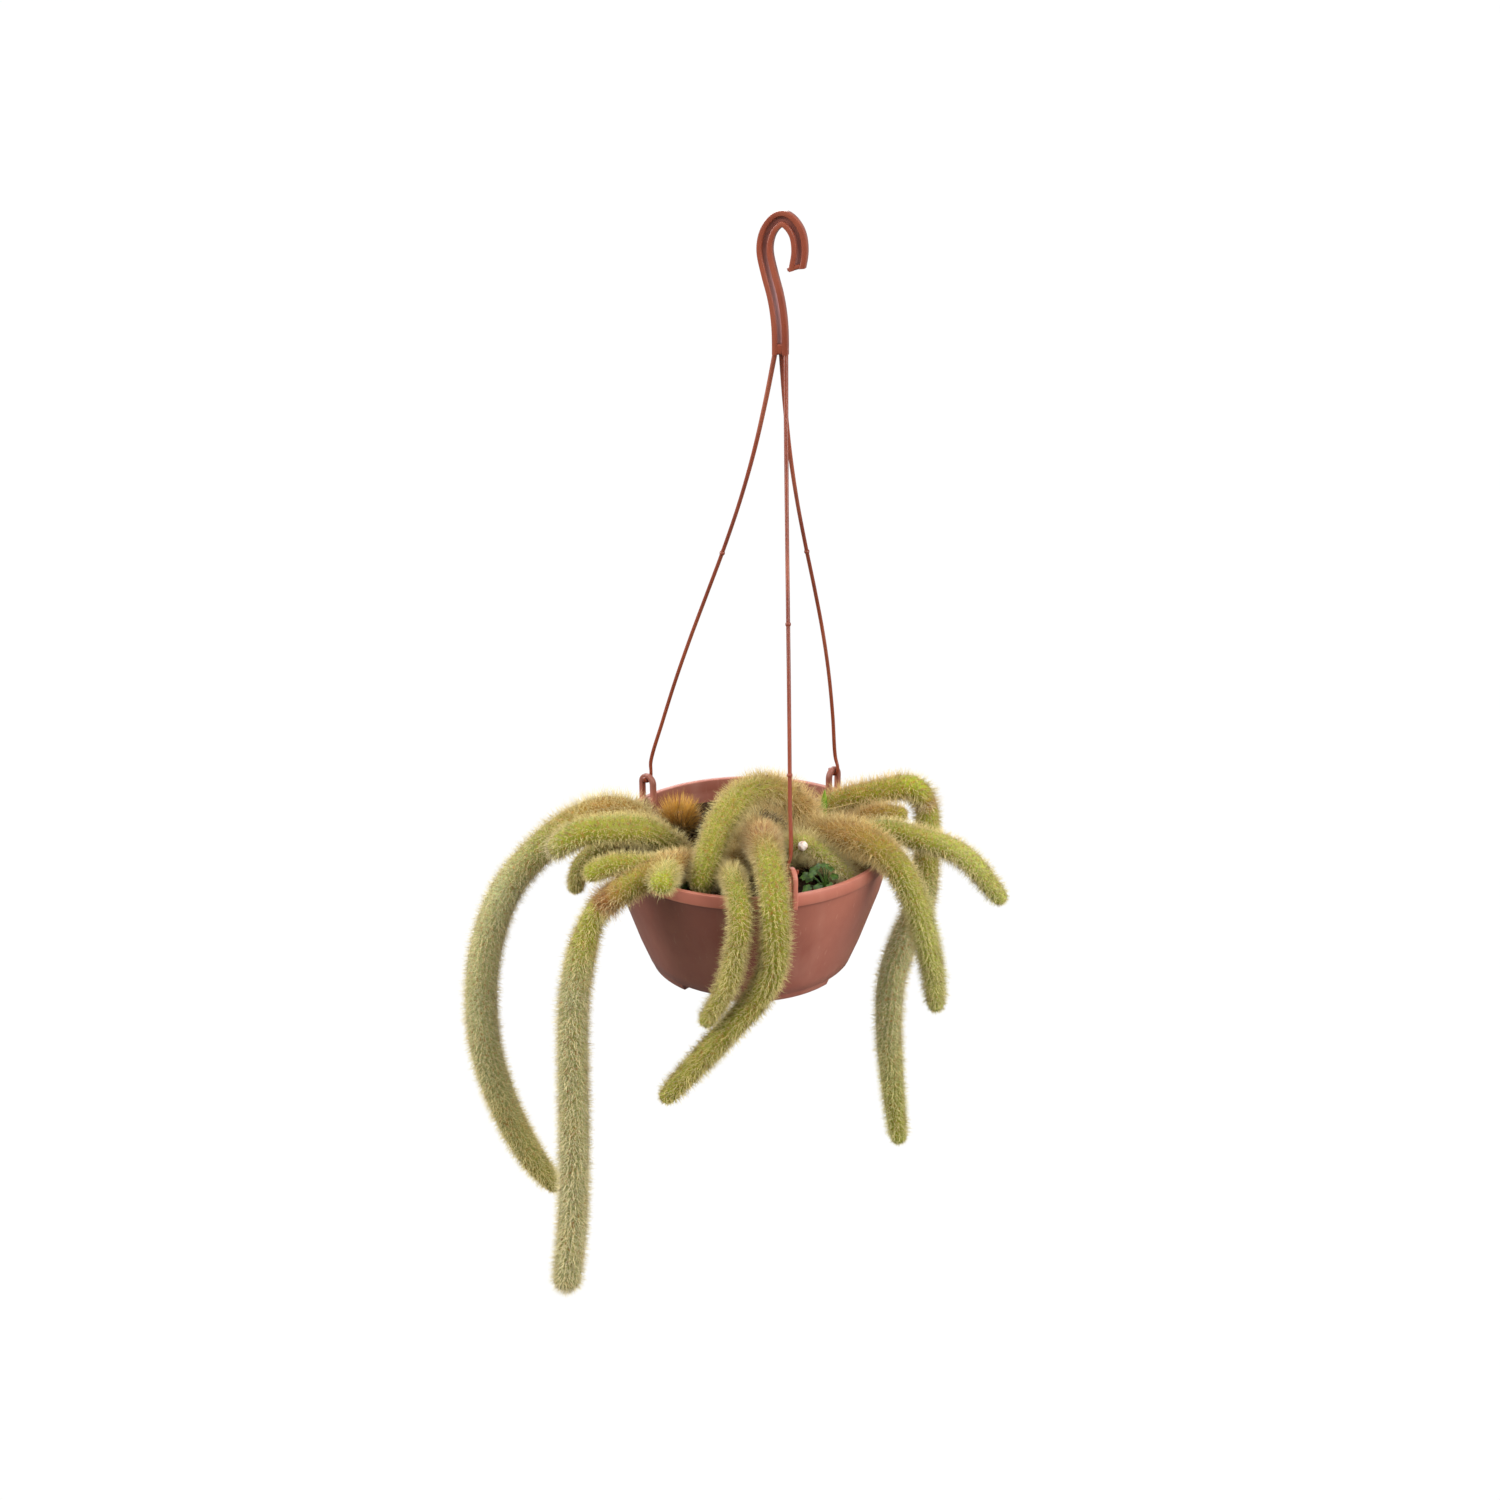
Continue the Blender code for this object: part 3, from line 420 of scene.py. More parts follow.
def many_copies(template: BMesh, count: int, name: str) -> Mesh:
    """Repeat a small shape in one mesh, copy after copy.

    Args:
        template: the shape, which is freed.
        count: how many copies.
        name: the mesh's name.

    Returns:
        The mesh, with the copies all in one place.
    """
    seed_mesh = bpy.data.meshes.new("template")
    template.to_mesh(seed_mesh)
    template.free()
    holder = add_object("template", seed_mesh)
    array = holder.modifiers.new("array", "ARRAY")
    array.count = count
    array.use_relative_offset = False
    array.use_constant_offset = True
    array.constant_offset_displace = (0.0, 0.0, 0.0)
    mesh = finished(holder)
    mesh.name = name
    bpy.data.objects.remove(holder, do_unlink=True)
    bpy.data.meshes.remove(seed_mesh)
    return mesh


def drilled(mesh: Mesh, pegs: BMesh) -> Mesh:
    """Cut pegs out of a mesh with one Boolean.

    Args:
        mesh: the mesh that is cut.
        pegs: the pegs, which are freed.

    Returns:
        The cut mesh.
    """
    cutter_mesh = bpy.data.meshes.new("pegs")
    pegs.to_mesh(cutter_mesh)
    pegs.free()
    body, cutter = add_object("body", mesh), add_object("pegs", cutter_mesh)
    cut = body.modifiers.new("cut", "BOOLEAN")
    cut.operation = "DIFFERENCE"
    cut.object = cutter
    result = finished(body)
    for thing in (body, cutter):
        bpy.data.objects.remove(thing, do_unlink=True)
    return result


def rounded_box(width: float, height: float, radius: float, steps: int) -> list[Span]:
    """Give the outline of a rectangle with round corners, about its middle.

    Args:
        width: its width.
        height: its height.
        radius: the corners' radius.
        steps: how many points each corner has.

    Returns:
        The outline's points.
    """
    outline = []
    for cx, cy, start in ((1, 1, 0.0), (-1, 1, 0.5), (-1, -1, 1.0), (1, -1, 1.5)):
        for k in range(steps):
            a = math.pi * (start + 0.5 * k / (steps - 1))
            outline.append((cx * (width / 2 - radius) + radius * math.cos(a),
                            cy * (height / 2 - radius) + radius * math.sin(a)))
    return outline


@dataclass(frozen=True)
class Pattern:
    """A cloudy pattern: its scale to the metre, its detail and roughness, and its stretch."""

    scale: float
    detail: float = 3.0
    rough: float = 0.55
    stretch: Optional[Colour] = None


class Painter:
    """Adds and joins the nodes of one procedural material."""

    def __init__(self, name: str) -> None:
        """Start a material that holds a Principled shader alone.

        Args:
            name: the material's name.
        """
        self.material = bpy.data.materials.new(name)
        self.material.use_nodes = True
        self.tree = self.material.node_tree
        self.shader = self.tree.nodes["Principled BSDF"]
        self.place = self.add("ShaderNodeTexCoord").outputs["Object"]

    def add(self, kind: str, **settings: object) -> bpy.types.Node:
        """Add a node and set its own properties.

        Args:
            kind: the node's type.
            settings: the properties and their values.

        Returns:
            The node.
        """
        node = self.tree.nodes.new(kind)
        for key, value in settings.items():
            setattr(node, key, value)
        return node

    def put(self, socket: Socket, value: object) -> None:
        """Join a socket to another one, or set its value.

        Args:
            socket: the socket.
            value: the other socket, or a plain value.
        """
        if isinstance(value, Socket):
            self.tree.links.new(value, socket)
        else:
            socket.default_value = value

    def feed(self, node: bpy.types.Node, **values: object) -> bpy.types.Node:
        """Join or set sockets of a node, named with underscores for spaces.

        Args:
            node: the node.
            values: a socket to join, or a plain value, for each socket's name.

        Returns:
            The node.
        """
        for key, value in values.items():
            self.put(node.inputs[key.replace("_", " ")], value)
        return node

    def surface(self, **values: object) -> None:
        """Join or set sockets of the shader, named with underscores for spaces."""
        self.feed(self.shader, **values)

    def noise(self, pattern: Pattern) -> Socket:
        """Add a cloudy pattern.

        Args:
            pattern: its numbers.

        Returns:
            Its factor.
        """
        place = self.place
        if pattern.stretch:
            mapping = self.feed(self.add("ShaderNodeMapping"), Vector=place, Scale=pattern.stretch)
            place = mapping.outputs["Vector"]
        node = self.feed(self.add("ShaderNodeTexNoise"), Vector=place, Scale=pattern.scale,
                         Detail=pattern.detail, Roughness=pattern.rough)
        return node.outputs["Fac"]

    def cells(self, scale: float) -> Socket:
        """Add a cell pattern and give the distance from each cell's middle."""
        return self.feed(self.add("ShaderNodeTexVoronoi"), Vector=self.place, Scale=scale).outputs["Distance"]

    def reach(self, value: Socket, span: Span, to: Span = (0.0, 1.0)) -> Socket:
        """Map a value from one range to another, clamped.

        Args:
            value: the value.
            span: the range that it comes from.
            to: the range that it goes to.

        Returns:
            The mapped value.
        """
        node = self.feed(self.add("ShaderNodeMapRange"), Value=value, From_Min=span[0], From_Max=span[1],
                         To_Min=to[0], To_Max=to[1])
        return node.outputs["Result"]

    def maths(self, operation: str, *values: object) -> Socket:
        """Work out a number.

        Args:
            operation: what to do.
            values: sockets or plain numbers.

        Returns:
            The result.
        """
        node = self.add("ShaderNodeMath", operation=operation)
        for socket, value in zip(node.inputs, values):
            self.put(socket, value)
        return node.outputs["Value"]

    def mix(self, share: object, first: object, second: object, blend: str = "MIX") -> Socket:
        """Mix two colours.

        Args:
            share: how much of the second, as a socket or a number.
            first: a socket, or a colour of 0 to 255.
            second: a socket, or a colour of 0 to 255.
            blend: how they mix.

        Returns:
            The mixed colour.
        """
        node = self.feed(self.add("ShaderNodeMix", data_type="RGBA", blend_type=blend), Factor=share)
        for socket, value in zip((node.inputs[6], node.inputs[7]), (first, second)):
            self.put(socket, value if isinstance(value, Socket) else (*linear(value), 1.0))
        return node.outputs[2]

    def veil(self, base: object, pattern: Socket, span: Span, strength: float, colour: Colour) -> Socket:
        """Lay a colour over a base where a pattern is strong.

        Args:
            base: what lies under it.
            pattern: where it lies.
            span: from where to where in the pattern it grows to its full strength.
            strength: how much of it there is at its strongest.
            colour: the colour, 0 to 255.

        Returns:
            The new base.
        """
        return self.mix(self.reach(pattern, span, (0.0, strength)), base, colour)

    def bump(self, height: Socket, strength: float, distance: float) -> None:
        """Raise the surface a little.

        Args:
            height: the height pattern.
            strength: how strongly it shows.
            distance: the height of its peaks, in metres.
        """
        node = self.feed(self.add("ShaderNodeBump"), Strength=strength, Distance=distance, Height=height)
        self.surface(Normal=node.outputs["Normal"])

    def tint(self) -> Socket:
        """Give the colour stored on the mesh."""
        return self.add("ShaderNodeAttribute", attribute_name=TINT).outputs["Color"]


@dataclass(frozen=True)
class MouldedPlastic:
    """Moulded plastic with a fine grain, cloudy shade, scuffs and a little dust."""

    name: str
    colour: Colour
    pale: Colour
    dark: Colour
    roughness: float
    grain: float
    scuffs: float
    cloud: Pattern = Pattern(14.0, 4.0, 0.6)
    flow: Pattern = Pattern(60.0, 3.0, 0.5, (1.0, 1.0, 0.12))
    scratch: Pattern = Pattern(420.0, 2.0, 0.6, (1.0, 1.0, 0.06))
    fine: Pattern = Pattern(1500.0, 2.0, 0.5)
    specular: float = 0.45
    dust: float = 0.35

    def make(self) -> Material:
        """Build the material.

        Returns:
            The material.
        """
        paint = Painter(self.name)
        flow = paint.noise(self.flow)
        base = paint.mix(paint.reach(paint.noise(self.cloud), (0.35, 0.68)), self.dark, self.colour)
        base = paint.veil(base, flow, (0.52, 0.8), self.dust, self.pale)
        base = paint.veil(base, paint.noise(self.scratch), (0.66, 0.74), self.scuffs, self.pale)
        # multiply by the stored tint, which holds the painted light and shade of the pot and the hanger
        base = paint.mix(1.0, base, paint.tint(), "MULTIPLY")
        rough = paint.maths("ADD", paint.reach(flow, (0.3, 0.7), (-0.06, 0.08)), self.roughness)
        paint.surface(Base_Color=base, Roughness=rough, Specular_IOR_Level=self.specular)
        height = paint.maths("ADD", paint.noise(self.fine), paint.maths("MULTIPLY", flow, 2.0))
        paint.bump(height, self.grain, 0.0004)
        return paint.material


@dataclass(frozen=True)
class CactusSkin:
    """Skin with ribs and rows of felted areoles, in the colour stored on the mesh, with painted shade in its
    grooves.
    """

    name: str = "cactus_skin"
    felt: Colour = (186, 140, 70)
    felt_dark: Colour = (128, 88, 36)
    # dark green of the random mottles, also used as painted shade in the grooves
    groove: Colour = (84, 88, 26)
    sunned: Colour = (186, 170, 74)
    fleck: Colour = (164, 100, 40)
    areole: float = 0.26
    areole_core: float = 0.45
    mottle: Pattern = Pattern(260.0, 4.0, 0.65)
    patch: Pattern = Pattern(45.0, 3.0, 0.6)
    wool: Pattern = Pattern(900.0)
    speck: Pattern = Pattern(430.0, 2.0, 0.5)

    def distances(self, paint: Painter) -> tuple[Socket, Socket]:
        """Read the UV map, which counts the areoles along and round the stem.

        Args:
            paint: the material in work.

        Returns:
            How far a place is from the nearest crest, and from the nearest areole.
        """
        uv = paint.add("ShaderNodeUVMap", uv_map=UV_NAME).outputs["UV"]
        split = paint.feed(paint.add("ShaderNodeSeparateXYZ"), Vector=uv)
        along, rib = split.outputs["X"], split.outputs["Y"]
        nearest = paint.maths("ROUND", rib)
        off_rib = paint.maths("ABSOLUTE", paint.maths("SUBTRACT", rib, nearest))
        shifted = paint.maths("ADD", along, paint.maths("MULTIPLY", nearest, 0.5))
        off_along = paint.maths("ABSOLUTE", paint.maths("SUBTRACT", shifted, paint.maths("ROUND", shifted)))
        squares = [paint.maths("POWER", off, 2.0) for off in (off_along, off_rib)]
        return off_rib, paint.maths("SQRT", paint.maths("ADD", *squares))

    def make(self) -> Material:
        """Build the material.

        Returns:
            The material.
        """
        paint = Painter(self.name)
        off_rib, distance = self.distances(paint)
        cushion = paint.reach(distance, (self.areole, self.areole * self.areole_core))
        mottle = paint.noise(self.mottle)
        skin = paint.veil(paint.tint(), mottle, (0.35, 0.7), 0.45, self.groove)
        # painted shade: the skin darkens from each crest into the grooves
        crest = paint.reach(off_rib, (0.5, 0.12))
        skin = paint.mix(paint.reach(crest, (0.0, 1.0), (0.25, 0.0)), skin, self.groove)
        skin = paint.veil(skin, paint.noise(self.patch), (0.5, 0.75), 0.3, self.sunned)
        skin = paint.veil(skin, paint.noise(self.speck), (0.57, 0.66), 0.65, self.fleck)
        felt = paint.mix(paint.reach(paint.noise(self.wool), (0.4, 0.6)), self.felt, self.felt_dark)
        base = paint.mix(paint.maths("MULTIPLY", cushion, 0.6), skin, felt)
        paint.surface(Base_Color=base, Roughness=paint.reach(cushion, (0.0, 1.0), (0.55, 0.9)),
                      Specular_IOR_Level=0.25, Sheen_Weight=0.1, Sheen_Roughness=0.6)
        raised = [paint.maths("MULTIPLY", cushion, 0.6), paint.maths("MULTIPLY", mottle, 0.5)]
        paint.bump(paint.maths("ADD", *raised), 0.6, 0.0006)
        return paint.material


@dataclass(frozen=True)
class SpineHair:
    """Fine spines and hairs, in the colour stored on the mesh."""

    name: str = "spine_hair"
    warm: Colour = (206, 160, 84)
    bright: Colour = (242, 228, 170)
    patch: Pattern = Pattern(70.0, 3.0, 0.6)
    fine: Pattern = Pattern(700.0, 2.0, 0.6)

    def make(self) -> Material:
        """Build the material.

        Returns:
            The material.
        """
        paint = Painter(self.name)
        fine = paint.noise(self.fine)
        base = paint.veil(paint.tint(), paint.noise(self.patch), (0.45, 0.75), 0.25, self.warm)
        base = paint.veil(base, fine, (0.35, 0.75), 0.3, self.bright)
        paint.surface(Base_Color=base, Roughness=paint.reach(fine, (0.0, 1.0), (0.4, 0.65)),
                      Sheen_Weight=0.12, Specular_IOR_Level=0.25)
        return paint.material


@dataclass(frozen=True)
class PottingSoil:
    """Dark crumbly potting mix with paler fibres."""

    name: str = "potting_mix"
    damp: Colour = (30, 21, 13)
    dry: Colour = (72, 52, 34)
    fibre: Colour = (110, 84, 56)
    # painted shade for the low spots of the crumb bump
    gap: Colour = (14, 11, 9)
    clods: Pattern = Pattern(160.0, 5.0, 0.7)
    fibres: Pattern = Pattern(900.0, 2.0, 0.5)
    crumb_scale: float = 420.0

    def make(self) -> Material:
        """Build the material.

        Returns:
            The material.
        """
        paint = Painter(self.name)
        crumb, clod = paint.cells(self.crumb_scale), paint.noise(self.clods)
        base = paint.mix(paint.reach(clod, (0.35, 0.7)), self.damp, self.dry)
        base = paint.veil(base, paint.noise(self.fibres), (0.62, 0.72), 0.7, self.fibre)
        # painted shade in the low spots of the crumb bump
        base = paint.veil(base, crumb, (0.25, 0.0), 0.5, self.gap)
        paint.surface(Base_Color=base, Roughness=paint.reach(clod, (0.3, 0.7), (0.8, 1.0)),
                      Specular_IOR_Level=0.15)
        paint.bump(paint.maths("ADD", crumb, paint.maths("MULTIPLY", clod, 1.5)), 0.9, 0.0015)
        return paint.material


@dataclass(frozen=True)
class GreenLeaf:
    """A thin leaf with paler veins and a soft gloss."""

    name: str
    colour: Colour
    pale: Colour
    patch: Pattern = Pattern(300.0, 4.0, 0.6)
    vein_scale: float = 900.0

    def make(self) -> Material:
        """Build the material.

        Returns:
            The material.
        """
        paint = Painter(self.name)
        patch, vein = paint.noise(self.patch), paint.cells(self.vein_scale)
        base = paint.mix(paint.reach(patch, (0.35, 0.7)), self.colour, self.pale)
        base = paint.veil(base, vein, (0.55, 0.75), 0.5, self.pale)
        paint.surface(Base_Color=base, Roughness=paint.reach(patch, (0.3, 0.7), (0.35, 0.6)))
        paint.bump(vein, 0.3, 0.0003)
        return paint.material


@dataclass(frozen=True)
class MineralGrain:
    """A rough pale mineral grain."""

    name: str = "mineral_grain"
    colour: Colour = (250, 242, 236)
    rosy: Colour = (226, 190, 170)
    # painted shade for the pits of the pore bump
    pit: Colour = (170, 130, 110)
    warmth: Pattern = Pattern(500.0, 3.0, 0.6)
    pore_scale: float = 1400.0

    def make(self) -> Material:
        """Build the material.

        Returns:
            The material.
        """
        paint = Painter(self.name)
        pore, warm = paint.cells(self.pore_scale), paint.noise(self.warmth)
        base = paint.mix(paint.reach(warm, (0.4, 0.7)), self.colour, self.rosy)
        # painted shade in the pits of the pore bump
        base = paint.veil(base, pore, (0.12, 0.0), 0.5, self.pit)
        paint.surface(Base_Color=base, Roughness=paint.reach(warm, (0.0, 1.0), (0.6, 0.9)))
        paint.bump(pore, 0.6, 0.0005)
        return paint.material


@dataclass(frozen=True)
class PalePaint:
    """The plain pale floor and backdrop, which gives its own even light."""

    name: str = "pale_stage"
    drift: Pattern = Pattern(1.5, 2.0, 0.5)
    glow: Span = (1.0, 1.04)

    def make(self) -> Material:
        """Build the material.

        Returns:
            The material.
        """
        paint = Painter(self.name)
        level = paint.reach(paint.noise(self.drift), (0.0, 1.0), self.glow)
        paint.surface(Base_Color=(0.0, 0.0, 0.0, 1.0), Roughness=1.0, Specular_IOR_Level=0.0,
                      Emission_Color=(1.0, 1.0, 1.0, 1.0), Emission_Strength=level)
        return paint.material


@dataclass(frozen=True)
class HairCoat:
    """How fine spines stand round each areole of a stem.

    Low spines lie spread over the skin like a star, and high ones stand out from it. A fringe of
    the high ones is paler and a little longer. Lengths are in millimetres and tilts in radians.
    """

    run: Run
    low: int = 5
    high: int = 7
    low_length: float = 2.8
    high_length: float = 4.8
    thickness: float = 0.24
    high_thickness: float = 0.31
    low_tilt: Span = (1.0, 1.38)
    high_tilt: Span = (0.1, 0.8)
    length_spread: Span = (0.55, 1.25)
    width_spread: Span = (0.75, 1.25)
    uneven: float = 0.35
    forward: float = 0.3
    forward_spread: Span = (0.3, 1.0)
    sunk: float = 0.35
    stray: float = 0.7
    base: float = 1.0
    base_until: float = 0.3
    base_fade: float = 1.4
    ruff: Span = (0.0, 1.0)
    ruff_width: float = 0.012
    bald: float = 0.55
    pale: float = 0.5
    brown: float = 0.22
    brown_shade: float = 0.4
    frost: float = 0.35
    fringe: int = 2
    fringe_pale: float = 0.85
    fringe_length: float = 0.3
    areole_shade: Span = (0.72, 1.12)
    spine_shade: Span = (0.85, 1.1)
    ribs: int = 16

    def vigour(self, shares: np.ndarray) -> np.ndarray:
        """Give how long the hair is at shares of the stem's length, against its usual length.

        Args:
            shares: places along the stem, from 0 at the root to 1 at the tip.

        Returns:
            A factor for each place.
        """
        near_base = np.clip(self.base_fade * (1.0 - shares / self.base_until), 0.0, 1.0)
        near_ruff = np.exp(-((shares - self.ruff[0]) / self.ruff_width) ** 2)
        return (1.0 + (self.base - 1.0) * near_base) * (1.0 + (self.ruff[1] - 1.0) * near_ruff)


@dataclass
class Areoles:
    """Where spines stand: places, outward and forward directions, lengths as a share, and colours."""

    places: np.ndarray
    outward: np.ndarray
    forward: np.ndarray
    vigour: np.ndarray
    tints: np.ndarray

    def add(self, other: Areoles) -> Areoles:
        """Give these areoles and another set as one."""
        return Areoles(*(np.concatenate((mine, vars(other)[key])) for key, mine in vars(self).items()))


@dataclass(frozen=True)
class Relief:
    """How ribs and tubercles stand on a stem's skin, how they turn, and where they carry no spines."""

    ring_step: float = 1.6
    groove: float = 0.25
    tubercle: float = 0.4
    full_radius: float = 4.0
    tip_step: float = 1.2
    tip_power: float = 0.85
    bare_above_soil: float = 1.5
    pot_inside: float = 95.0
    bare_radius: float = 0.6
    dome: float = 0.8
    wander: float = 0.35
    wander_length: float = 47.0
    shiver: float = 0.05
    shiver_length: float = 9.0


RELIEF = Relief()


def tipped(knots: Knots) -> np.ndarray:
    """Give a smooth line through knots, with rings past its end that close it in a round tip.

    Args:
        knots: points of x, y, z and radius.

    Returns:
        The line's points, each as x, y, z and radius.
    """
    line = Route(knots, RELIEF.ring_step).rings()
    last, ahead = line[-1], unit(line[-1, :3] - line[-2, :3])
    turns = np.linspace(0.0, math.pi / 2, max(4, round(last[3] / RELIEF.tip_step)) + 1)[1:]
    tip = []
    for t in turns:
        radius = max(last[3] * math.cos(t) ** RELIEF.tip_power, POINT)
        tip.append(np.append(last[:3] + ahead * last[3] * math.sin(t), radius))
    return np.vstack([line, tip])


def ribbed_tube(line: np.ndarray, skin: Run, coat: HairCoat) -> tuple[BMesh, Areoles]:
    """Build a stem's skin with ribs and tubercles.

    Args:
        line: points of x, y, z and radius at even steps, to the closed tip.
        skin: the skin's colours along it.
        coat: the hair that the areoles will carry.

    Returns:
        The skin, and the areoles on its crests.
    """
    ahead, side, third = frames(line[:, :3])
    count, sides = len(line), 2 * coat.ribs
    ring, column = np.meshgrid(np.arange(count), np.arange(sides), indexing="ij")
    along = RELIEF.ring_step * np.arange(count)
    wander = RELIEF.wander * np.sin(along / RELIEF.wander_length + line[0, 0])
    wander = wander + RELIEF.shiver * np.sin(along / RELIEF.shiver_length)
    turn = column * math.tau / sides + wander[:, None]
    crest = column % 2 == 0
    tubercle = crest & ((ring + column // 2) % 2 == 0)
    scale = np.minimum(1.0, line[:, 3] / RELIEF.full_radius)[:, None]
    relief = crest * RELIEF.groove - RELIEF.groove + tubercle * RELIEF.tubercle
    radius = np.maximum(line[:, 3][:, None] + scale * relief, POINT)
    radius[-1] = POINT
    outward = side[:, None] * np.cos(turn)[..., None] + third[:, None] * np.sin(turn)[..., None]
    points = line[:, None, :3] + outward * radius[..., None]
    shares = np.linspace(0.0, 1.0, count)
    bm = roll_up(metres(points), skin.at(shares), ((count - 1) / 2, float(coat.ribs)))
    rate = np.linalg.norm(np.gradient(line[:, :3], axis=0), axis=1)
    slope = np.gradient(line[:, 3]) / np.maximum(rate, 0.2)
    lean = unit(outward - ahead[:, None] * slope[:, None, None])
    in_pot = np.hypot(points[..., 0], points[..., 1]) < RELIEF.pot_inside
    buried = in_pot & (points[..., 2] < SOIL_TOP + RELIEF.bare_above_soil)
    seen = tubercle & ~buried & (line[:, 3] > RELIEF.bare_radius)[:, None]
    forward = np.broadcast_to(ahead[:, None], points.shape)
    to_tip = np.linalg.norm(line[:, :3] - line[-1, :3], axis=1)
    bald = np.where(to_tip < RELIEF.dome * line[:, 3].max(), coat.bald, 1.0)
    vigour = np.broadcast_to((coat.vigour(shares) * bald)[:, None], seen.shape)
    hues = np.broadcast_to(coat.run.at(shares)[:, None], points.shape)
    return bm, Areoles(points[seen], lean[seen], forward[seen], vigour[seen], hues[seen])


def grow_hair(name: str, areoles: Areoles, coat: HairCoat, seed: int) -> Mesh:
    """Stand fine spines on areoles.

    Args:
        name: the mesh's name.
        areoles: where they stand.
        coat: how they stand, how long they are and their colours.
        seed: the start of the random draws.

    Returns:
        One mesh with a slim closed spike for each spine.
    """
    rng = np.random.default_rng(seed)
    places, per = len(areoles.places), coat.low + coat.high
    count = places * per
    index, rank = np.repeat(np.arange(places), per), np.tile(np.arange(per), places)
    is_low, is_fringe = rank < coat.low, rank >= per - coat.fringe
    start = rng.uniform(0.0, math.tau, places)[index]
    around = start + rank * math.tau / np.maximum(coat.low, 1) + rng.normal(0.0, coat.uneven, count)
    tilt = np.where(is_low, rng.uniform(*coat.low_tilt, count), rng.uniform(*coat.high_tilt, count))
    out = areoles.outward[index]
    across = unit(np.cross(out, unit(areoles.forward[index])))
    fore = np.cross(across, out)
    flat = fore * np.cos(around)[:, None] + across * np.sin(around)[:, None]
    direction = unit(out * np.cos(tilt)[:, None] + flat * np.sin(tilt)[:, None]
                     + fore * coat.forward * rng.uniform(*coat.forward_spread, count)[:, None])
    vigour = areoles.vigour[index]
    length = np.where(is_low, coat.low_length, coat.high_length) * rng.uniform(*coat.length_spread, count)
    length *= vigour * np.where(is_fringe, 1.0 + coat.fringe_length / vigour.clip(1.0), 1.0)
    width = np.where(is_low, coat.thickness, coat.high_thickness) * rng.uniform(*coat.width_spread, count)
    stray = across * rng.normal(0.0, coat.stray, (count, 1)) + fore * rng.normal(0.0, coat.stray, (count, 1))
    brown = (rng.uniform(0.0, 1.0, places) < coat.brown)[index]
    hues = areoles.tints[index]
    browned = hues * coat.brown_shade + np.array(linear(Tone.RUST.value)) * coat.brown_shade
    hues = np.where(brown[:, None], browned, hues)
    pale = np.where(is_low | brown, 0.0, coat.pale) / np.maximum(1.0, vigour) ** 2
    pale = np.where(is_fringe, coat.fringe_pale, pale)[:, None]
    hues = hues * (1.0 - pale) + np.array(linear(Tone.CREAM.value)) * pale
    shade = rng.uniform(*coat.areole_shade, places)[index] * rng.uniform(*coat.spine_shade, count)
    return spikes(name, areoles.places[index] + stray - out * coat.sunk, direction, length, width,
                  hues * shade[:, None], coat.frost)


def spikes(name: str, roots: np.ndarray, direction: np.ndarray, length: np.ndarray, width: np.ndarray,
           colours: np.ndarray, frost: float = 0.0) -> Mesh:
    """Make slim three-sided spikes, each a closed cone.

    Args:
        name: the mesh's name.
        roots: where each stands, in millimetres.
        direction: which way each points.
        length: each one's length.
        width: each one's width at its root.
        colours: each one's linear colour.
        frost: how far the points turn to cream.

    Returns:
        The mesh of all of them.
    """
    template = bmesh.new()
    bmesh.ops.create_cone(template, cap_ends=True, segments=3, radius1=0.5, radius2=0.0, depth=1.0)
    local = np.array([vert.co for vert in template.verts])
    mesh = many_copies(template, len(roots), name)
    helper = np.where(np.abs(direction[:, 2:3]) < 0.9, UP, np.array((1.0, 0.0, 0.0)))
    first = unit(np.cross(direction, helper))
    second = np.cross(direction, first)
    places = (roots[:, None]
              + first[:, None] * (local[:, 0:1] * width[:, None, None])
              + second[:, None] * (local[:, 1:2] * width[:, None, None])
              + direction[:, None] * ((local[:, 2:3] + 0.5) * length[:, None, None]))
    at_point = local[:, 2:3] > 0.0
    # painted light at the points, painted shade at the roots
    tints = colours[:, None] * np.where(at_point, POINT_SHADE, ROOT_SHADE)
    cream = np.array(linear(Tone.CREAM.value))
    set_tint(mesh, (tints + (cream - tints) * np.where(at_point, frost, 0.0)).reshape(-1, 3))
    write_points(mesh, places)
    return mesh


@dataclass
class Stem:
    """One stem of the cactus, with the arms that fork from it."""

    name: str
    slot: Slot
    root: Span
    route: Knots
    skin: Run
    coat: HairCoat
    arms: Sequence[Knots] = ()
    arm_skin: Optional[Run] = None
    collar: float = 3.0

    def line(self) -> np.ndarray:
        """Give the stem's line from the soil to its tip.

        Returns:
            Points of x, y, z and radius.
        """
        radius = self.route[0][3]
        foot, collar = ((*self.root, SOIL_TOP + z, radius) for z in (-SINK, self.collar))
        return tipped((foot, collar, *self.route))

    def build(self, skin: Material, hair: Material, seed: int) -> None:
        """Build the skin and the hair, and put them in the scene.

        Args:
            skin: the skin's material.
            hair: the hair's material.
            seed: the start of the random draws.
        """
        bm, areoles = ribbed_tube(self.line(), self.skin, self.coat)
        for knots in self.arms:
            arm, more = ribbed_tube(tipped(knots), self.arm_skin, ARM_COAT)
            merge_into(bm, arm)
            areoles = areoles.add(more)
        make_piece(self.name + "_skin", settle(bm, self.name + "_skin", 180.0), self.slot, skin, self.name)
        mesh = grow_hair(self.name + "_hair", areoles, self.coat, seed)
        make_piece(self.name + "_hair", mesh, self.slot, hair)


GREEN_COAT = HairCoat(Run.of("0 TAN 0.25 STRAW 1 YELLOW"), base=1.5)
ARM_COAT = HairCoat(Run.of("0 STRAW 0.6 YELLOW 1 YELLOW"))
GREEN_SKIN = Run.of("0 AMBER 0.2 MOSS 0.5 YOUNG 0.92 YOUNG 1 FRESH")

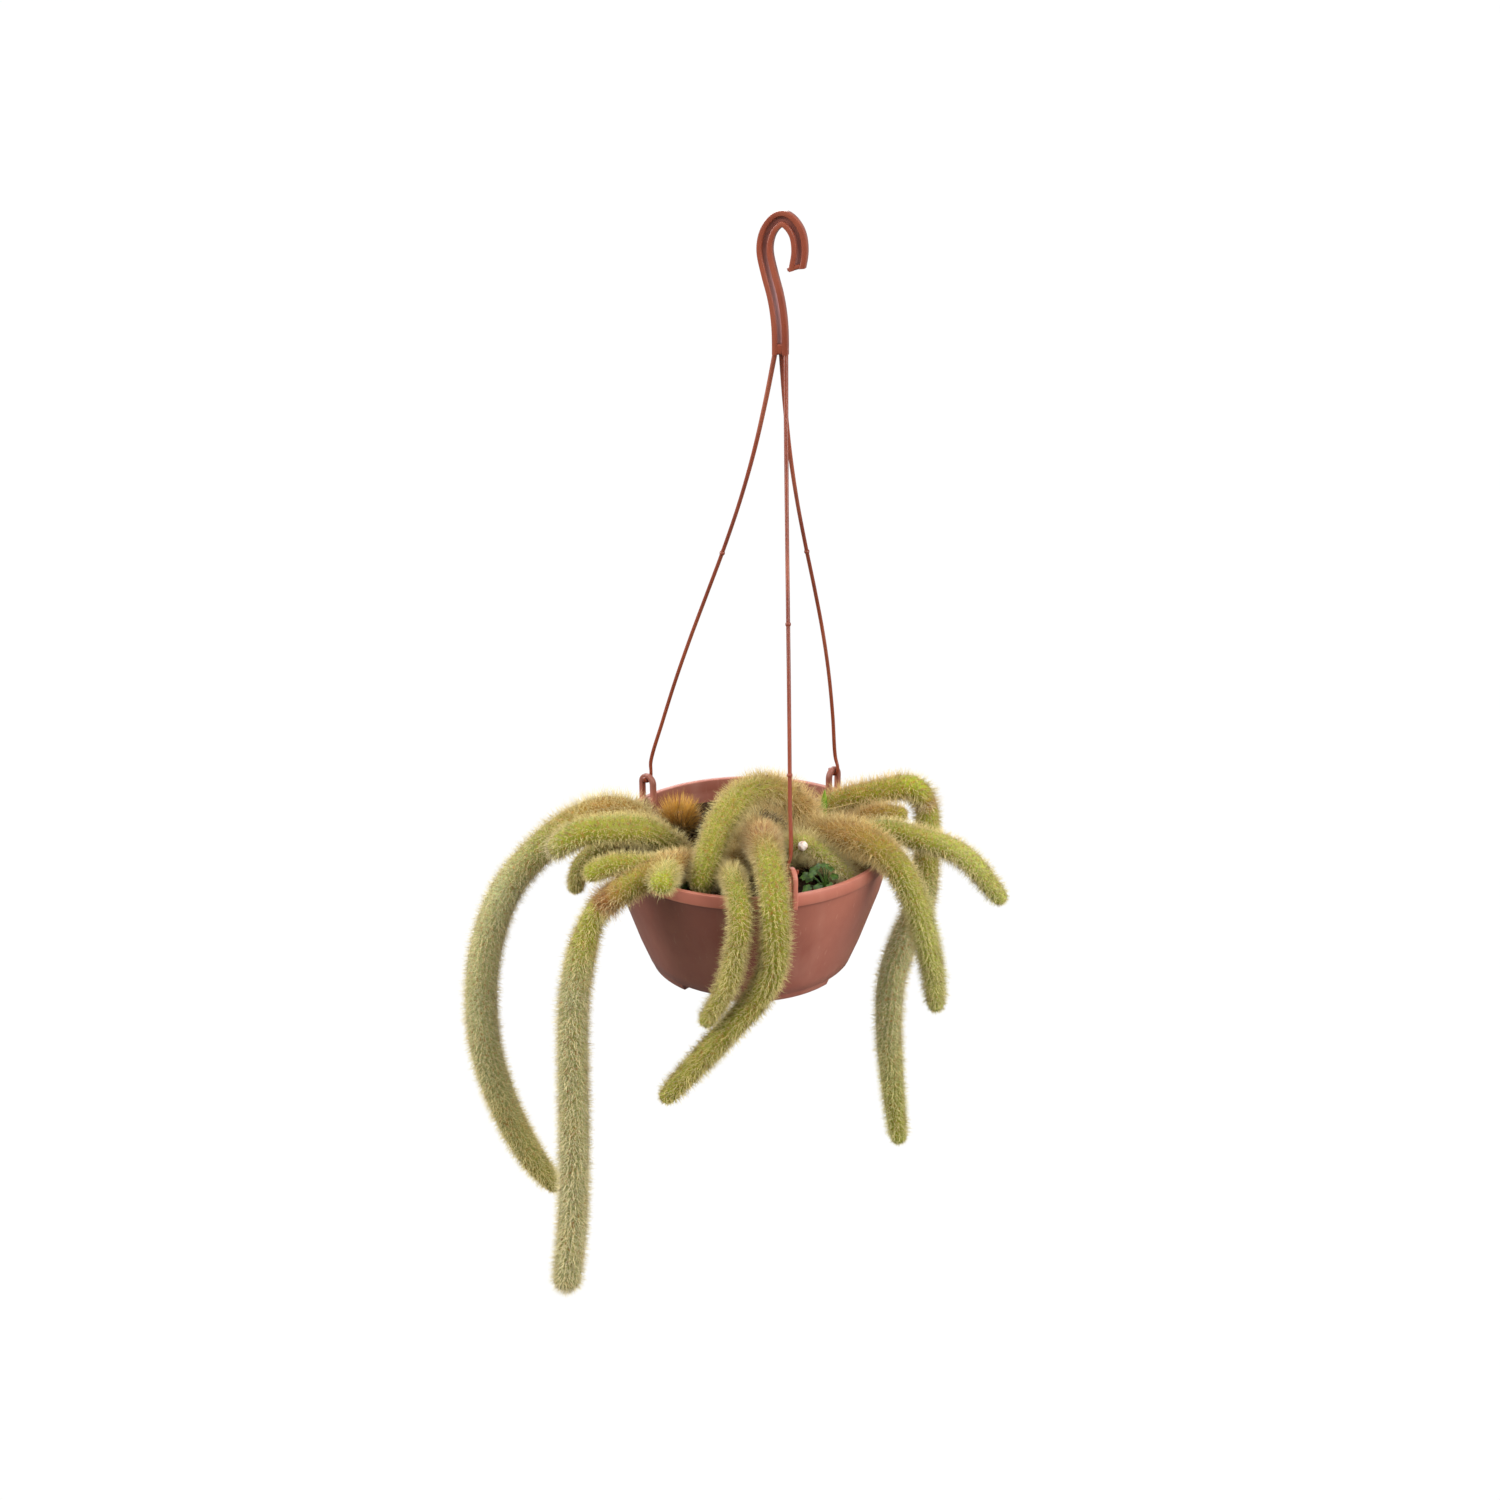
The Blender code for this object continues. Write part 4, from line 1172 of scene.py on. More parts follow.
STEMS = (
    Stem("stem_outer_left", Slot.GREY, (-72, 16), (
        (-74, 14, 1, 7.5), (-86, 9, 13, 7.9), (-102, 4, 16, 8.7), (-123, -2, 8, 9.6),
        (-145, -8, -9, 10), (-164, -12, -30, 10), (-177, -14, -56, 10.3), (-188, -15, -99, 10.5),
        (-190, -14, -157, 10.5), (-178, -11, -216, 9.8), (-160, -8, -262, 8.5), (-146, -6, -285, 5.8)),
        Run.of("0 AMBER 0.15 AMBER 0.24 YOUNG 0.34 PALE_GREEN 0.6 PALE_GREEN 0.8 GREY_GREEN 1 MOSS"),
        HairCoat(Run.of("0 GOLD 0.08 CREAM 0.2 CREAM 0.34 WHITE 0.65 WHITE 0.82 STRAW 1 YELLOW"), high=6,
                 base=1.9, brown=0.1, frost=0.5, ribs=20, stray=0.85)),
    Stem("stem_upper_left", Slot.GREEN, (-46, -12), (
        (-50, -18, -5, 7.6), (-58, -27, 7, 8.2), (-68, -37, 18, 8.8), (-80, -47, 25, 9),
        (-93, -54, 28, 8.9), (-108, -58, 28, 8.6), (-120, -60, 23, 8), (-126, -60, 18, 7.2)),
        GREEN_SKIN, HairCoat(Run.of("0 TAN 0.25 STRAW 0.8 YELLOW 1 WHITE"), base=1.5, bald=1.0)),
    Stem("stem_under_left", Slot.GREY, (-64, -4), (
        (-68, -14, 1, 5.5), (-79, -27, 8, 5.5), (-91, -34, 10, 5.5), (-104, -38, 4, 5.5),
        (-113, -38, -5, 5.5), (-117, -37, -16, 5.3), (-118, -36, -23, 5)),
        Run.of("0 DARK 1 MOSS"),
        HairCoat(Run.of("0 TAN 1 STRAW"), low_length=2.6, high_length=3.4)),
    Stem("stem_left_branching", Slot.GREY, (-40, -36), (
        (-42, -48, -3, 8), (-48, -64, 7, 8), (-57, -78, 11, 8.2), (-70, -87, 8, 8.4),
        (-84, -92, 1, 8.4), (-96, -92, -9, 7.4), (-102, -92, -18, 6.6), (-107, -91, -32, 7.8),
        (-112, -91, -52, 9), (-117, -91, -82, 9.4), (-119, -90, -126, 9.5), (-121, -86, -193, 9.5),
        (-125, -80, -263, 9.5), (-131, -76, -315.5, 9.3)),
        Run.of("0 RUST 0.14 AMBER 0.2 YOUNG 0.235 RUST 0.252 RUST 0.262 FRESH 0.31 FRESH 0.38 GREY_GREEN "
               "1 GREY_GREEN"),
        HairCoat(Run.of("0 RUSSET 0.18 GOLD 0.24 RUSSET 0.252 RUSSET 0.265 YELLOW 0.32 STRAW "
                        "0.4 WHITE 1 WHITE"), high=6, base=1.6, base_until=0.12, ruff=(0.245, 1.7), brown=0.1,
                 ribs=20, stray=0.85, bald=1.1, frost=0.15),
        (((-58, -76, 11, 6.4), (-72, -78, 13, 6.6), (-88, -79, 14, 6.6), (-102, -82, 10, 5.8)),
         ((-54, -77, 10, 7.6), (-55, -92, 13, 8), (-56, -108, 16, 7.4))),
        Run.of("0 YOUNG 0.5 YOUNG 1 FRESH")),
    Stem("stem_centre_arch", Slot.GREEN, (42, 24), (
        (42, 23, -6, 8.5), (37, 18, 7, 8.7), (26, 12, 22, 8.9), (12, 0, 33, 9),
        (-1, -15, 37, 8.9), (-11, -30, 35, 8.8), (-19, -45, 28, 8.7), (-25, -60, 18, 8.6),
        (-29, -71, 8, 8.2), (-31, -77, 1, 7.6)),
        Run.of("0 RUST 0.25 AMBER 0.45 YOUNG 1 YOUNG"),
        HairCoat(Run.of("0 SAND 0.36 SAND 0.45 TAN 0.6 STRAW 1 YELLOW"), high=9, base=2.0, base_until=0.75,
                 brown=0.1)),
    Stem("stem_front_long", Slot.GREEN, (6, -27), (
        (6, -34, 3, 8), (7, -50, 20, 8.1), (9.5, -76, 27, 8.1), (13, -102, 22, 8.1),
        (15.5, -116, 4, 8.4), (16, -116, -21, 8.8), (14, -112, -45, 8.6), (5, -108, -68, 8),
        (-11, -105, -90, 7.9), (-29.5, -102, -115, 7.6), (-46, -100, -136, 6.5), (-55, -99, -148, 5.5)),
        Run.of("0 RUST 0.22 RUST 0.32 YOUNG 0.9 YOUNG 1 FRESH"),
        HairCoat(Run.of("0 TAN 0.14 RUSSET 0.24 RUSSET 0.32 STRAW 1 YELLOW"), base=1.9, base_until=0.34,
                 frost=0.2, pale=0.38)),
    Stem("stem_front_short", Slot.GREEN, (-14, -58), (
        (-13, -66, -4, 6.3), (-12, -82, 8, 6.3), (-10, -98, 11, 6.4), (-7, -112, 5, 6.5),
        (-6, -118, -10, 6.6), (-9, -116, -30, 6.5), (-13, -112, -52, 6.3), (-20.5, -109, -71, 5.7),
        (-28, -107, -85, 5)),
        GREEN_SKIN, GREEN_COAT),
    Stem("stem_right_long", Slot.GREEN, (36, -12), (
        (38, -15, -1, 8.3), (46, -24, 9, 8.5), (59, -34, 15, 8.8), (73, -46, 17, 9),
        (86, -56, 14, 8.8), (97, -62, 5, 8.6), (105, -65, -9, 8.4), (112, -66, -27, 8),
        (118, -66, -50, 7.4), (123, -64, -72, 6.6), (126.5, -62, -99, 5.2)),
        Run.of("0 AMBER 0.3 AMBER 0.5 YOUNG 0.7 LIME 1 LIME"),
        HairCoat(Run.of("0 AMBER 0.15 AMBER 0.4 GOLD 0.5 STRAW 0.62 LEMON 1 LEMON"), high=9, base=2.5,
                 base_until=0.5, brown=0.08)),
    Stem("stem_right_outer", Slot.GREEN, (60, 0), (
        (66, -6, -2, 6.8), (80, -13, 7, 7.1), (96, -20, 11, 7.3), (112, -27, 9, 7.5),
        (126, -32, 7, 7.5), (140, -36, 2, 7.2), (151, -40, -6, 6.7), (160, -42, -17, 6),
        (168, -44, -27, 5)),
        Run.of("0 AMBER 0.2 MOSS 0.5 YOUNG 0.7 LIME 1 LIME"),
        HairCoat(Run.of("0 TAN 0.25 STRAW 0.7 CREAM 1 LEMON"), base=1.5, brown=0.12)),
    Stem("stem_right_tail", Slot.GREY, (50, 46), (
        (53, 44, -4, 7), (60, 42, 4, 7.2), (72, 40, 9, 7.5), (88, 38, 14, 7.8),
        (104, 37, 18, 8), (114, 36, 19, 7.8), (123, 36, 10, 7), (126, 36, -9, 7.8),
        (126, 36, -38, 8.6), (124, 36, -70, 9.0), (112.5, 36, -101, 9.6), (104, 36, -136, 9.6),
        (103, 36, -174, 9), (106, 36, -213, 8), (110, 36, -248, 6.9), (113, 36, -271, 5.8)),
        Run.of("0 MOSS 0.1 YOUNG 0.24 FRESH 0.262 AMBER 0.28 FRESH 0.38 YOUNG 0.48 PALE_GREEN "
               "0.6 PALE_GREEN 0.7 GREY_GREEN 0.82 GREY_GREEN 0.92 YOUNG 1 FRESH"),
        HairCoat(Run.of("0 GOLD 0.18 GOLD 0.24 YELLOW 0.262 PINK 0.28 YELLOW 0.38 STRAW 0.48 WHITE "
                        "0.72 WHITE 0.84 LEMON 1 LEMON"), base=1.7, ruff=(0.255, 1.4), brown=0.12,
                 stray=0.85)),
    Stem("stem_right_back", Slot.GOLD, (70, 22), (
        (74, 19, -2, 5.8), (84, 16, 6, 5.8), (95, 13, 9, 5.6), (104, 11, 9, 5)),
        Run.of("0 RUST 0.6 AMBER 1 YOUNG"),
        HairCoat(Run.of("0 RUSSET 1 GOLD"), base=1.5, base_until=1.0)),
    Stem("stem_pot_right", Slot.GREEN, (24, -27), (
        (25, -29, -4, 6.3), (29, -33, 6, 6.3), (36, -39, 10, 6.4), (46, -44, 7, 6.3),
        (56, -48, 0, 6), (65, -51, -7, 5.4)),
        Run.of("0 LIME 1 LIME"),
        HairCoat(Run.of("0 CREAM 0.5 STRAW 0.8 WHITE 1 WHITE"), high=10, low_length=4.4, high_length=7.4,
                 base=1.3, bald=1.0, brown=0.0, frost=0.6, pale=0.8)),
)


@dataclass
class GoldenStub:
    """A low stub in a tuft of long golden spines."""

    name: str = "stem_golden_stub"
    root: Span = (-50.0, 36.0)
    radius: float = 8.0
    shape: Sequence[Span] = ((-SINK, 1.0), (0.0, 1.0), (3.0, 1.0), (7.0, 0.97), (10.0, 0.8), (11.5, 0.55))
    skin: Run = Run.of("0 DARK 1 BRONZE")
    tuft: Run = Run.of("0 DARK 0.35 BRONZE 0.6 GOLD 1 GOLD")
    tuft_height: float = 12.5
    spine: float = 21.0
    count: int = 1300
    crowding: float = 0.8
    shoulder: float = 0.7
    girth: float = 0.95
    narrowing: float = 1.6
    lifts: Span = (0.25, 1.6)
    lengths: Span = (0.45, 1.0)
    widths: Span = (0.5, 0.8)
    ruffled: float = 0.2
    seed: int = 11

    def spines(self) -> Mesh:
        """Make the tuft, whose spines rise more steeply near the top.

        Returns:
            The tuft's mesh.
        """
        rng = np.random.default_rng(self.seed)
        height = rng.uniform(0.0, 1.0, self.count) ** self.crowding
        turn = rng.uniform(0.0, math.tau, self.count)
        spread = np.stack([np.cos(turn), np.sin(turn), np.zeros(self.count)], axis=-1)
        narrowed = self.girth - self.narrowing * (height - self.shoulder)
        girth = self.radius * np.where(height < self.shoulder, self.girth, narrowed)
        roots = np.array((*self.root, SOIL_TOP)) + spread * girth[:, None]
        roots = roots + UP * (self.tuft_height * height)[:, None]
        lift = rng.uniform(*self.lifts, self.count) * (0.5 + height)
        direction = unit(spread * (1.1 - 0.7 * height)[:, None] + UP * lift[:, None]
                         + rng.normal(0.0, self.ruffled, (self.count, 3)))
        length = self.spine * rng.uniform(*self.lengths, self.count) * (0.65 + 0.35 * height)
        tones = self.tuft.at(rng.uniform(0.0, 0.45, self.count) + 0.55 * height)
        widths = rng.uniform(*self.widths, self.count)
        return spikes(self.name + "_hair", roots, direction, length, widths, tones)

    def build(self, skin: Material, hair: Material) -> None:
        """Build the stub and its tuft.

        Args:
            skin: the skin's material.
            hair: the hair's material.
        """
        knots = [(*self.root, SOIL_TOP + z, self.radius * share) for z, share in self.shape]
        bm, _ = ribbed_tube(tipped(knots), self.skin, GREEN_COAT)
        make_piece(self.name + "_skin", settle(bm, self.name + "_skin", 180.0), Slot.GOLD, skin, self.name)
        make_piece(self.name + "_hair", self.spines(), Slot.GOLD, hair)


@dataclass
class YoungShoots:
    """Short shoots, thick with hair, that hide the soil under the arch; each as x, y, height and radius."""

    places: Knots = ((3, -9, 31, 6.5), (-9, -15, 23, 6), (-9, -32, 18, 6), (17, -13, 25, 6),
                     (-27, -28, 15, 6), (-27, -47, 11, 5.5), (70, -32, 12, 5.5))
    skin: Run = Run.of("0 BRONZE 0.6 AMBER 1 AMBER")
    coat: HairCoat = HairCoat(Run.of("0 TAN 1 TAN"), high=10, low_length=4.5, high_length=8.5,
                              base_until=1.0, bald=1.0)
    taper: float = 0.95
    seed: int = 21

    def build(self, skin: Material, hair: Material) -> None:
        """Build all the shoots as one skin and one coat of hair.

        Args:
            skin: the skin's material.
            hair: the hair's material.
        """
        bm, grown = bmesh.new(), []
        for x, y, height, radius in self.places:
            knots = ((x, y, SOIL_TOP - SINK, radius), (x, y, SOIL_TOP + height / 2, radius),
                     (x, y, SOIL_TOP + height - radius, radius * self.taper))
            shoot, areoles = ribbed_tube(tipped(knots), self.skin, self.coat)
            merge_into(bm, shoot)
            grown.append(areoles)
        make_piece("young_shoots_skin", settle(bm, "young_shoots_skin", 180.0), Slot.GOLD, skin)
        mesh = grow_hair("young_shoots_hair", functools.reduce(Areoles.add, grown), self.coat, self.seed)
        make_piece("young_shoots_hair", mesh, Slot.GOLD, hair)


@dataclass
class HangingPot:
    """The round pot: bowl, rim band, feet, drain holes and three ears."""

    segments: int = 144
    rim_radius: float = 100.0
    rim_inner: float = 96.0
    band: float = 8.5
    wall: Sequence[Span] = ((97.6, -8.5), (90.9, -34.5), (78.2, -72.0), (69.5, -94.0))
    wall_heights: Sequence[float] = (-9.4, -11.5, -18.0, -26.0, -34.5, -47.0, -60.0, -72.0, -81.0)
    thick: float = 2.0
    floor_top: float = -86.8
    floor_under: float = -89.0
    foot_low: float = -94.0
    foot_width: float = 6.0
    gap_angles: Sequence[float] = (-28.5, 61.5, 151.5, 241.5)
    foot_gap: float = 24.0
    foot_steps: int = 33
    drains: int = 6
    drain_circle: float = 42.0
    drain_radius: float = 4.0
    peg: Span = (-88.0, 12.0)
    ear_angles: Sequence[float] = (-130.0, 141.0, 16.5)
    ear_radius: float = 95.9
    arch: float = 5.2
    arch_steps: int = 21
    bar: Span = (4.2, 3.8)
    bar_round: float = 1.1
    ear_top: float = 18.0
    gusset: tuple[float, float, float] = (5.6, 2.6, 6.0)
    gusset_middle: Span = (94.8, -3.6)
    # painted shade over the whole inside of the pot
    inside_shade: float = 0.48
    # painted shade over the whole outer wall
    below: float = 0.36
    # painted shade on the ears behind; the front ear is kept lighter
    ear_shade: float = 0.45
    front_shade: float = 0.9
    # painted light on the side of the wall that faces the key light
    lit_side: float = 0.38
    # painted shadow along the underside of the rim band
    corner: float = 0.72
    # painted light on the rim band, from its right side to its brightest on the front left
    rim_shade: float = 0.7
    rim_glow: float = 1.05
    # bearing of the painted light on the wall, in degrees from the front towards the right
    light_bearing: float = 50.0

    def outer(self, z: float) -> float:
        """Give the wall's outer radius at a height."""
        radii, heights = zip(*reversed(self.wall))
        return float(np.interp(z, heights, radii))

    def profile(self) -> list[Span]:
        """Give the bowl's outline, from the floor's top round to its underside.

        Returns:
            The outline's points, each as a radius and a height.
        """
        wall = [(self.outer(z), z) for z in self.wall_heights]
        inner = [(radius - self.thick, z) for radius, z in reversed(wall)]
        top, under = self.outer(self.floor_top), self.outer(self.floor_under)
        floor = [(0.0, 0.0), (top - 5.0, 0.0), (top - 2.8, 1.0), (top - 2.0, 3.0)]
        mouth = [(-0.3, 1.0 - self.band), (0.0, -0.9), (0.3, -0.25), (0.9, 0.0)]
        lip = [(-1.0, 0.0), (-0.3, -0.25), (0.0, -0.9), (0.0, -4.5), (-0.05, 0.6 - self.band),
               (-0.3, 0.15 - self.band), (-0.8, -self.band)]
        step = [(self.wall[0][0] + 0.35, -self.band), (self.wall[0][0] + 0.05, -self.band - 0.3)]
        base = [(under + 0.1, 0.3), (under - 0.4, 0.0), (0.0, 0.0)]
        return [*((radius, self.floor_top + z) for radius, z in floor), *inner,
                *((self.rim_inner + x, z) for x, z in mouth), *((self.rim_radius + x, z) for x, z in lip),
                *step, *wall, *((radius, self.floor_under + z) for radius, z in base)]

    def bowl(self) -> BMesh:
        """Turn the bowl about its axis, down to the underside of its floor."""
        points = [metres((radius, 0.0, z)) for radius, z in self.profile()]
        return turn_round(points, metres((0.0, 0.0, 0.0)), self.segments, 0.00001)

    def foot(self, angle: float) -> BMesh:
        """Sweep one curved foot about the pot's axis.

        Args:
            angle: where its middle lies, in degrees from the front.

        Returns:
            The foot.
        """
        reach, low, high = self.outer(self.foot_low), self.foot_low, self.floor_under + 0.6
        inside = reach - self.foot_width
        section = ((inside + 0.4, low), (reach - 1.0, low), (reach - 0.2, low + 0.5),
                   (reach + 0.3, low + 1.8), (self.outer(self.floor_under), high), (inside - 0.7, high),
                   (inside, low + 0.4))
        half = (90.0 - self.foot_gap) / 2
        rings = []
        for turn in np.linspace(-half, half, self.foot_steps):
            a = math.radians(angle + turn)
            rings.append([(r * math.sin(a), -r * math.cos(a), z) for r, z in section])
        return roll_up(metres(np.array(rings)))

    def ear(self, angle: float) -> BMesh:
        """Sweep one ear's arch across the rim, with its gusset.

        Args:
            angle: where it stands, in degrees from the front.

        Returns:
            The ear.
        """
        out, aside = compass(angle)
        crown = self.ear_top - self.bar[0] / 2 - self.arch
        turns = [0.0, 0.0, 0.0, *np.linspace(0.0, math.pi, self.arch_steps), math.pi, math.pi]
        heights = [-self.band - 0.8, -self.band + 0.4, 0.0, *[crown] * self.arch_steps, 0.0, -self.band + 1.6]
        section = rounded_box(*self.bar, self.bar_round, 4)
        rings = []
        for turn, z in zip(turns, heights):
            radius, height = self.ear_radius + self.arch * math.cos(turn), z + self.arch * math.sin(turn)
            centre = out * radius + UP * height
            across = out * math.cos(turn) + UP * math.sin(turn)
            rings.append([centre + across * u + aside * v for u, v in section])
        bm = roll_up(metres(np.array(rings)))
        gusset = soft_cube(0.08, 2)
        depth, width, height = self.gusset
        for vert in gusset.verts:
            spot = out * (self.gusset_middle[0] + vert.co.x * depth) + aside * vert.co.y * width
            vert.co = metres(spot + UP * (self.gusset_middle[1] + vert.co.z * height))
        merge_into(bm, gusset)
        return bm

    def pegs(self) -> BMesh:
        """Make the pegs that cut the drain holes.

        Returns:
            The pegs.
        """
        bm = bmesh.new()
        radius = self.drain_radius * MM
        for k in range(self.drains):
            a = math.tau * k / self.drains
            made = bmesh.ops.create_cone(bm, cap_ends=True, segments=24, radius1=radius, radius2=radius,
                                         depth=self.peg[1] * MM)
            spot = (self.drain_circle * math.cos(a), self.drain_circle * math.sin(a), self.peg[0])
            bmesh.ops.translate(bm, verts=made["verts"], vec=metres(spot))
        return bm

    def shades(self, places: np.ndarray) -> np.ndarray:
        """Work out the painted light and shade on each place of the pot, as how light or dark it looks.

        Args:
            places: the places, in millimetres from the rim's centre.

        Returns:
            One shade for each place.
        """
        x, y, z = places.T
        limit = np.array([self.outer(height) for height in z]) - 0.6 * self.thick
        inside = (np.hypot(x, y) < limit) & (z < -0.5) & (z > self.floor_under + 1.0)
        # painted light: the wall is lighter towards the side the key light comes from, darker elsewhere
        bearing = np.arctan2(x, -y) - math.radians(self.light_bearing)
        light = self.below + self.lit_side * np.clip(np.cos(bearing), 0.0, 1.0) ** 2
        # painted shadow in a strip along the underside of the rim band
        light *= np.where(z > -self.band - 1.2, self.corner, 1.0)
        # painted light on the rim band, strongest on the front left
        left = np.clip(np.cos(bearing + math.radians(90.0)), 0.0, 1.0)
        rim = self.rim_shade + (self.rim_glow - self.rim_shade) * left
        # painted shade inside the pot, painted light on the rim band, and painted light and shade on the wall
        # below it
        shade = np.where(inside, self.inside_shade, np.where(z > -self.band + 0.05, rim, light))
        # painted shade: the ears behind are darker than the one in front
        return np.where(z > 0.5, np.where(y < 0.0, self.front_shade, self.ear_shade), shade)

    def build(self, finish: Material) -> None:
        """Build the pot as one piece.

        Args:
            finish: its material.
        """
        bm = bmesh.new()
        bm.from_mesh(drilled(settle(self.bowl(), "bowl"), self.pegs()))
        for angle in self.gap_angles:
            merge_into(bm, self.foot(angle + 45.0))
        for angle in self.ear_angles:
            merge_into(bm, self.ear(angle))
        mesh = settle(bm, "pot_shell")
        # store the pot's painted light and shade as its tint
        set_tint(mesh, self.shades(read_points(mesh) - RIM_CENTRE)[:, None] * np.ones(3))
        make_piece("pot_shell", mesh, Slot.POT, finish, "pot")


POT = HangingPot()


@dataclass(frozen=True)
class Strand:
    """One thin strand: where it leaves the boss, its bow, its side of the ear, and its moulding nubs."""

    ear: float
    start: Span
    sag: float
    sway: float
    neck: float
    nubs: tuple[float, ...] = ()


@dataclass
class StrandHanger:
    """The crook with its channelled band, and three strands caught in the ears.

    The crook's numbers, and the start of each strand, are in millimetres from the place where the
    crook bears on what it hangs from.
    """

    route: Sequence[Span] = (
        (11.3, -25.5), (13.0, -14.0), (10.5, -2.2), (2.2, 5.0), (-5.8, -1.0), (-9.2, -13.0),
        (-6.0, -29.0), (-2.8, -40.0), (-0.7, -50.0), (0.6, -61.0), (1.0, -72.0), (1.0, -78.0))
    band: float = 9.8
    depth: float = 6.5
    flange: float = 3.2
    web: float = 2.0
    soft: float = 0.7
    turn: float = -15.0
    end: tuple[float, float, float] = (-0.3, 0.0, 0.954)
    smoothing: int = 8
    strands: Sequence[Strand] = (
        Strand(-130.0, (-1.8, 0.0), -0.051, -0.033, 1.0, (0.42,)),
        Strand(141.0, (1.3, 1.4), 0.0, -0.075, 0.4, (0.43,)),
        Strand(16.5, (4.3, -1.3), -0.02, -0.04, 0.4, (0.5, 0.78)),
    )
    strand_top: float = -74.0
    strand_radii: tuple[float, float, float] = (1.6, 1.3, 1.15)
    strand_sides: int = 12
    strand_points: int = 10
    catch: float = 3.7
    catch_points: int = 7
    catch_play: float = 0.3
    neck_height: float = 8.0
    nub_radius: float = 1.9
    # painted shade on the outer side of the channel
    channel_shade: float = 0.5
    # painted sheen in the channel, as colour factors high up and low down
    sheen_high: Colour = (1.2, 1.7, 2.6)
    sheen_low: Colour = (2.6, 6.2, 12.0)
    sheen_from: float = -12.0
    sheen_over: float = 34.0

    def section(self) -> np.ndarray:
        """Give the outline of the crook's H section, its outer edges rounded.

        Returns:
            Points across the band and through its depth.
        """
        half, depth = self.band / 2, self.depth / 2
        inner, web, soft = half - self.flange, self.web / 2, self.soft
        quarter = [(half, -depth + soft), (half, depth - soft), (half - 0.2, depth - 0.2),
                   (half - soft, depth), (inner + soft * 0.6, depth), (inner + 0.15, depth - 0.15),
                   (inner, depth - soft * 0.6), (inner - 0.15, web + 0.4), (inner - 0.5, web)]
        top = quarter + [(-x, z) for x, z in reversed(quarter)]
        bottom = [(x, -z) for x, z in reversed(top)]
        outline = []
        for point in top + bottom:
            if not outline or math.dist(point, outline[-1]) > 1e-6:
                outline.append(point)
        return np.array(outline[:-1] if math.dist(outline[0], outline[-1]) < 1e-6 else outline)

    def turned(self, places: np.ndarray) -> np.ndarray:
        """Turn places of the crook's plane about its stem, and give them in metres.

        Args:
            places: the places, in millimetres from the bearing point.

        Returns:
            The turned places.
        """
        a, stem = math.radians(self.turn), np.array((self.route[-1][0], 0.0, 0.0))
        turn = np.array(((math.cos(a), -math.sin(a), 0.0), (math.sin(a), math.cos(a), 0.0), (0.0, 0.0, 1.0)))
        return ((places - stem) @ turn.T + stem) * MM

    def line(self) -> tuple[np.ndarray, np.ndarray]:
        """Give the crook's line in its plane, and the way to its inner side at each point.

        Returns:
            The points, and a direction for each.
        """
        line = Route([(x, 0.0, z, 1.0) for x, z in self.route], 1.0).rings()[:, :3]
        for _ in range(self.smoothing):
            line[1:-1] = (line[:-2] + 2.0 * line[1:-1] + line[2:]) / 4.0
        ahead = unit(np.gradient(line, axis=0))
        ahead[0] = unit(np.array(self.end))
        ahead[1] = unit(ahead[0] + ahead[2] * 2.0)
        return line, np.cross(ahead, ACROSS)

    def tints(self, places: np.ndarray) -> np.ndarray:
        """Work out each place's tint: the web has painted shade on its outer side and a painted pale sheen on
        its inner side.

        Args:
            places: the places, in millimetres in the frame.

        Returns:
            One row of red, green and blue for each place.
        """
        a, stem = math.radians(-self.turn), self.route[-1]
        from_stem = places[:, 0] - stem[0]
        depth = from_stem * math.sin(a) + places[:, 1] * math.cos(a)
        flat = np.column_stack([from_stem * math.cos(a) - places[:, 1] * math.sin(a) + stem[0], places[:, 2]])
        line, across = self.line()
        near = np.argmin(((flat[:, None] - line[None, :, (0, 2)]) ** 2).sum(axis=2), axis=1)
        inward = ((flat - line[near][:, (0, 2)]) * across[near][:, (0, 2)]).sum(axis=1)
        # painted sheen: more of it towards the inner side, and stronger lower down the stem
        share = np.clip(0.8 + inward / (self.band - 2.0 * self.flange), 0.0, 1.0)[:, None]
        low = np.clip((self.sheen_from - places[:, 2:3]) / self.sheen_over, 0.0, 1.0)
        sheen = np.array(self.sheen_high) * (1.0 - low) + np.array(self.sheen_low) * low
        channel = (np.abs(depth) < self.web / 2 + 0.6) & (places[:, 2] > stem[1] + 4.0)
        # painted shade on the outer side of the channel, painted sheen on its inner side
        return np.where(channel[:, None], self.channel_shade + (sheen - self.channel_shade) * share, 1.0)

    def crook(self) -> BMesh:
        """Sweep the H section along the crook's line.

        Returns:
            The crook.
        """
        line, across = self.line()
        outline = self.section()
        rings = line[:, None] + across[:, None] * outline[:, 0:1] + ACROSS * outline[:, 1:2]
        return roll_up(self.turned(rings))

    def block(self, foot: Span, ahead: np.ndarray, wide: Span, heights: Span) -> BMesh:
        """Make a soft-edged block across the band.

        Args:
            foot: its foot in the crook's plane.
            ahead: which way it stands.
            wide: how far it reaches to each side.
            heights: where it starts and ends above its foot.

        Returns:
            The block.
        """
        bm = soft_cube(0.22, 4)
        across = np.cross(ahead, ACROSS)
        centre = np.array((foot[0], 0.0, foot[1])) + across * sum(wide) / 2 + ahead * sum(heights) / 2
        for vert in bm.verts:
            spot = (centre + across * vert.co.x * (wide[1] - wide[0])
                    + ahead * vert.co.z * (heights[1] - heights[0]))
            vert.co = self.turned(spot + ACROSS * (vert.co.y * (self.depth - self.soft)))
        bmesh.ops.recalc_face_normals(bm, faces=bm.faces)
        return bm

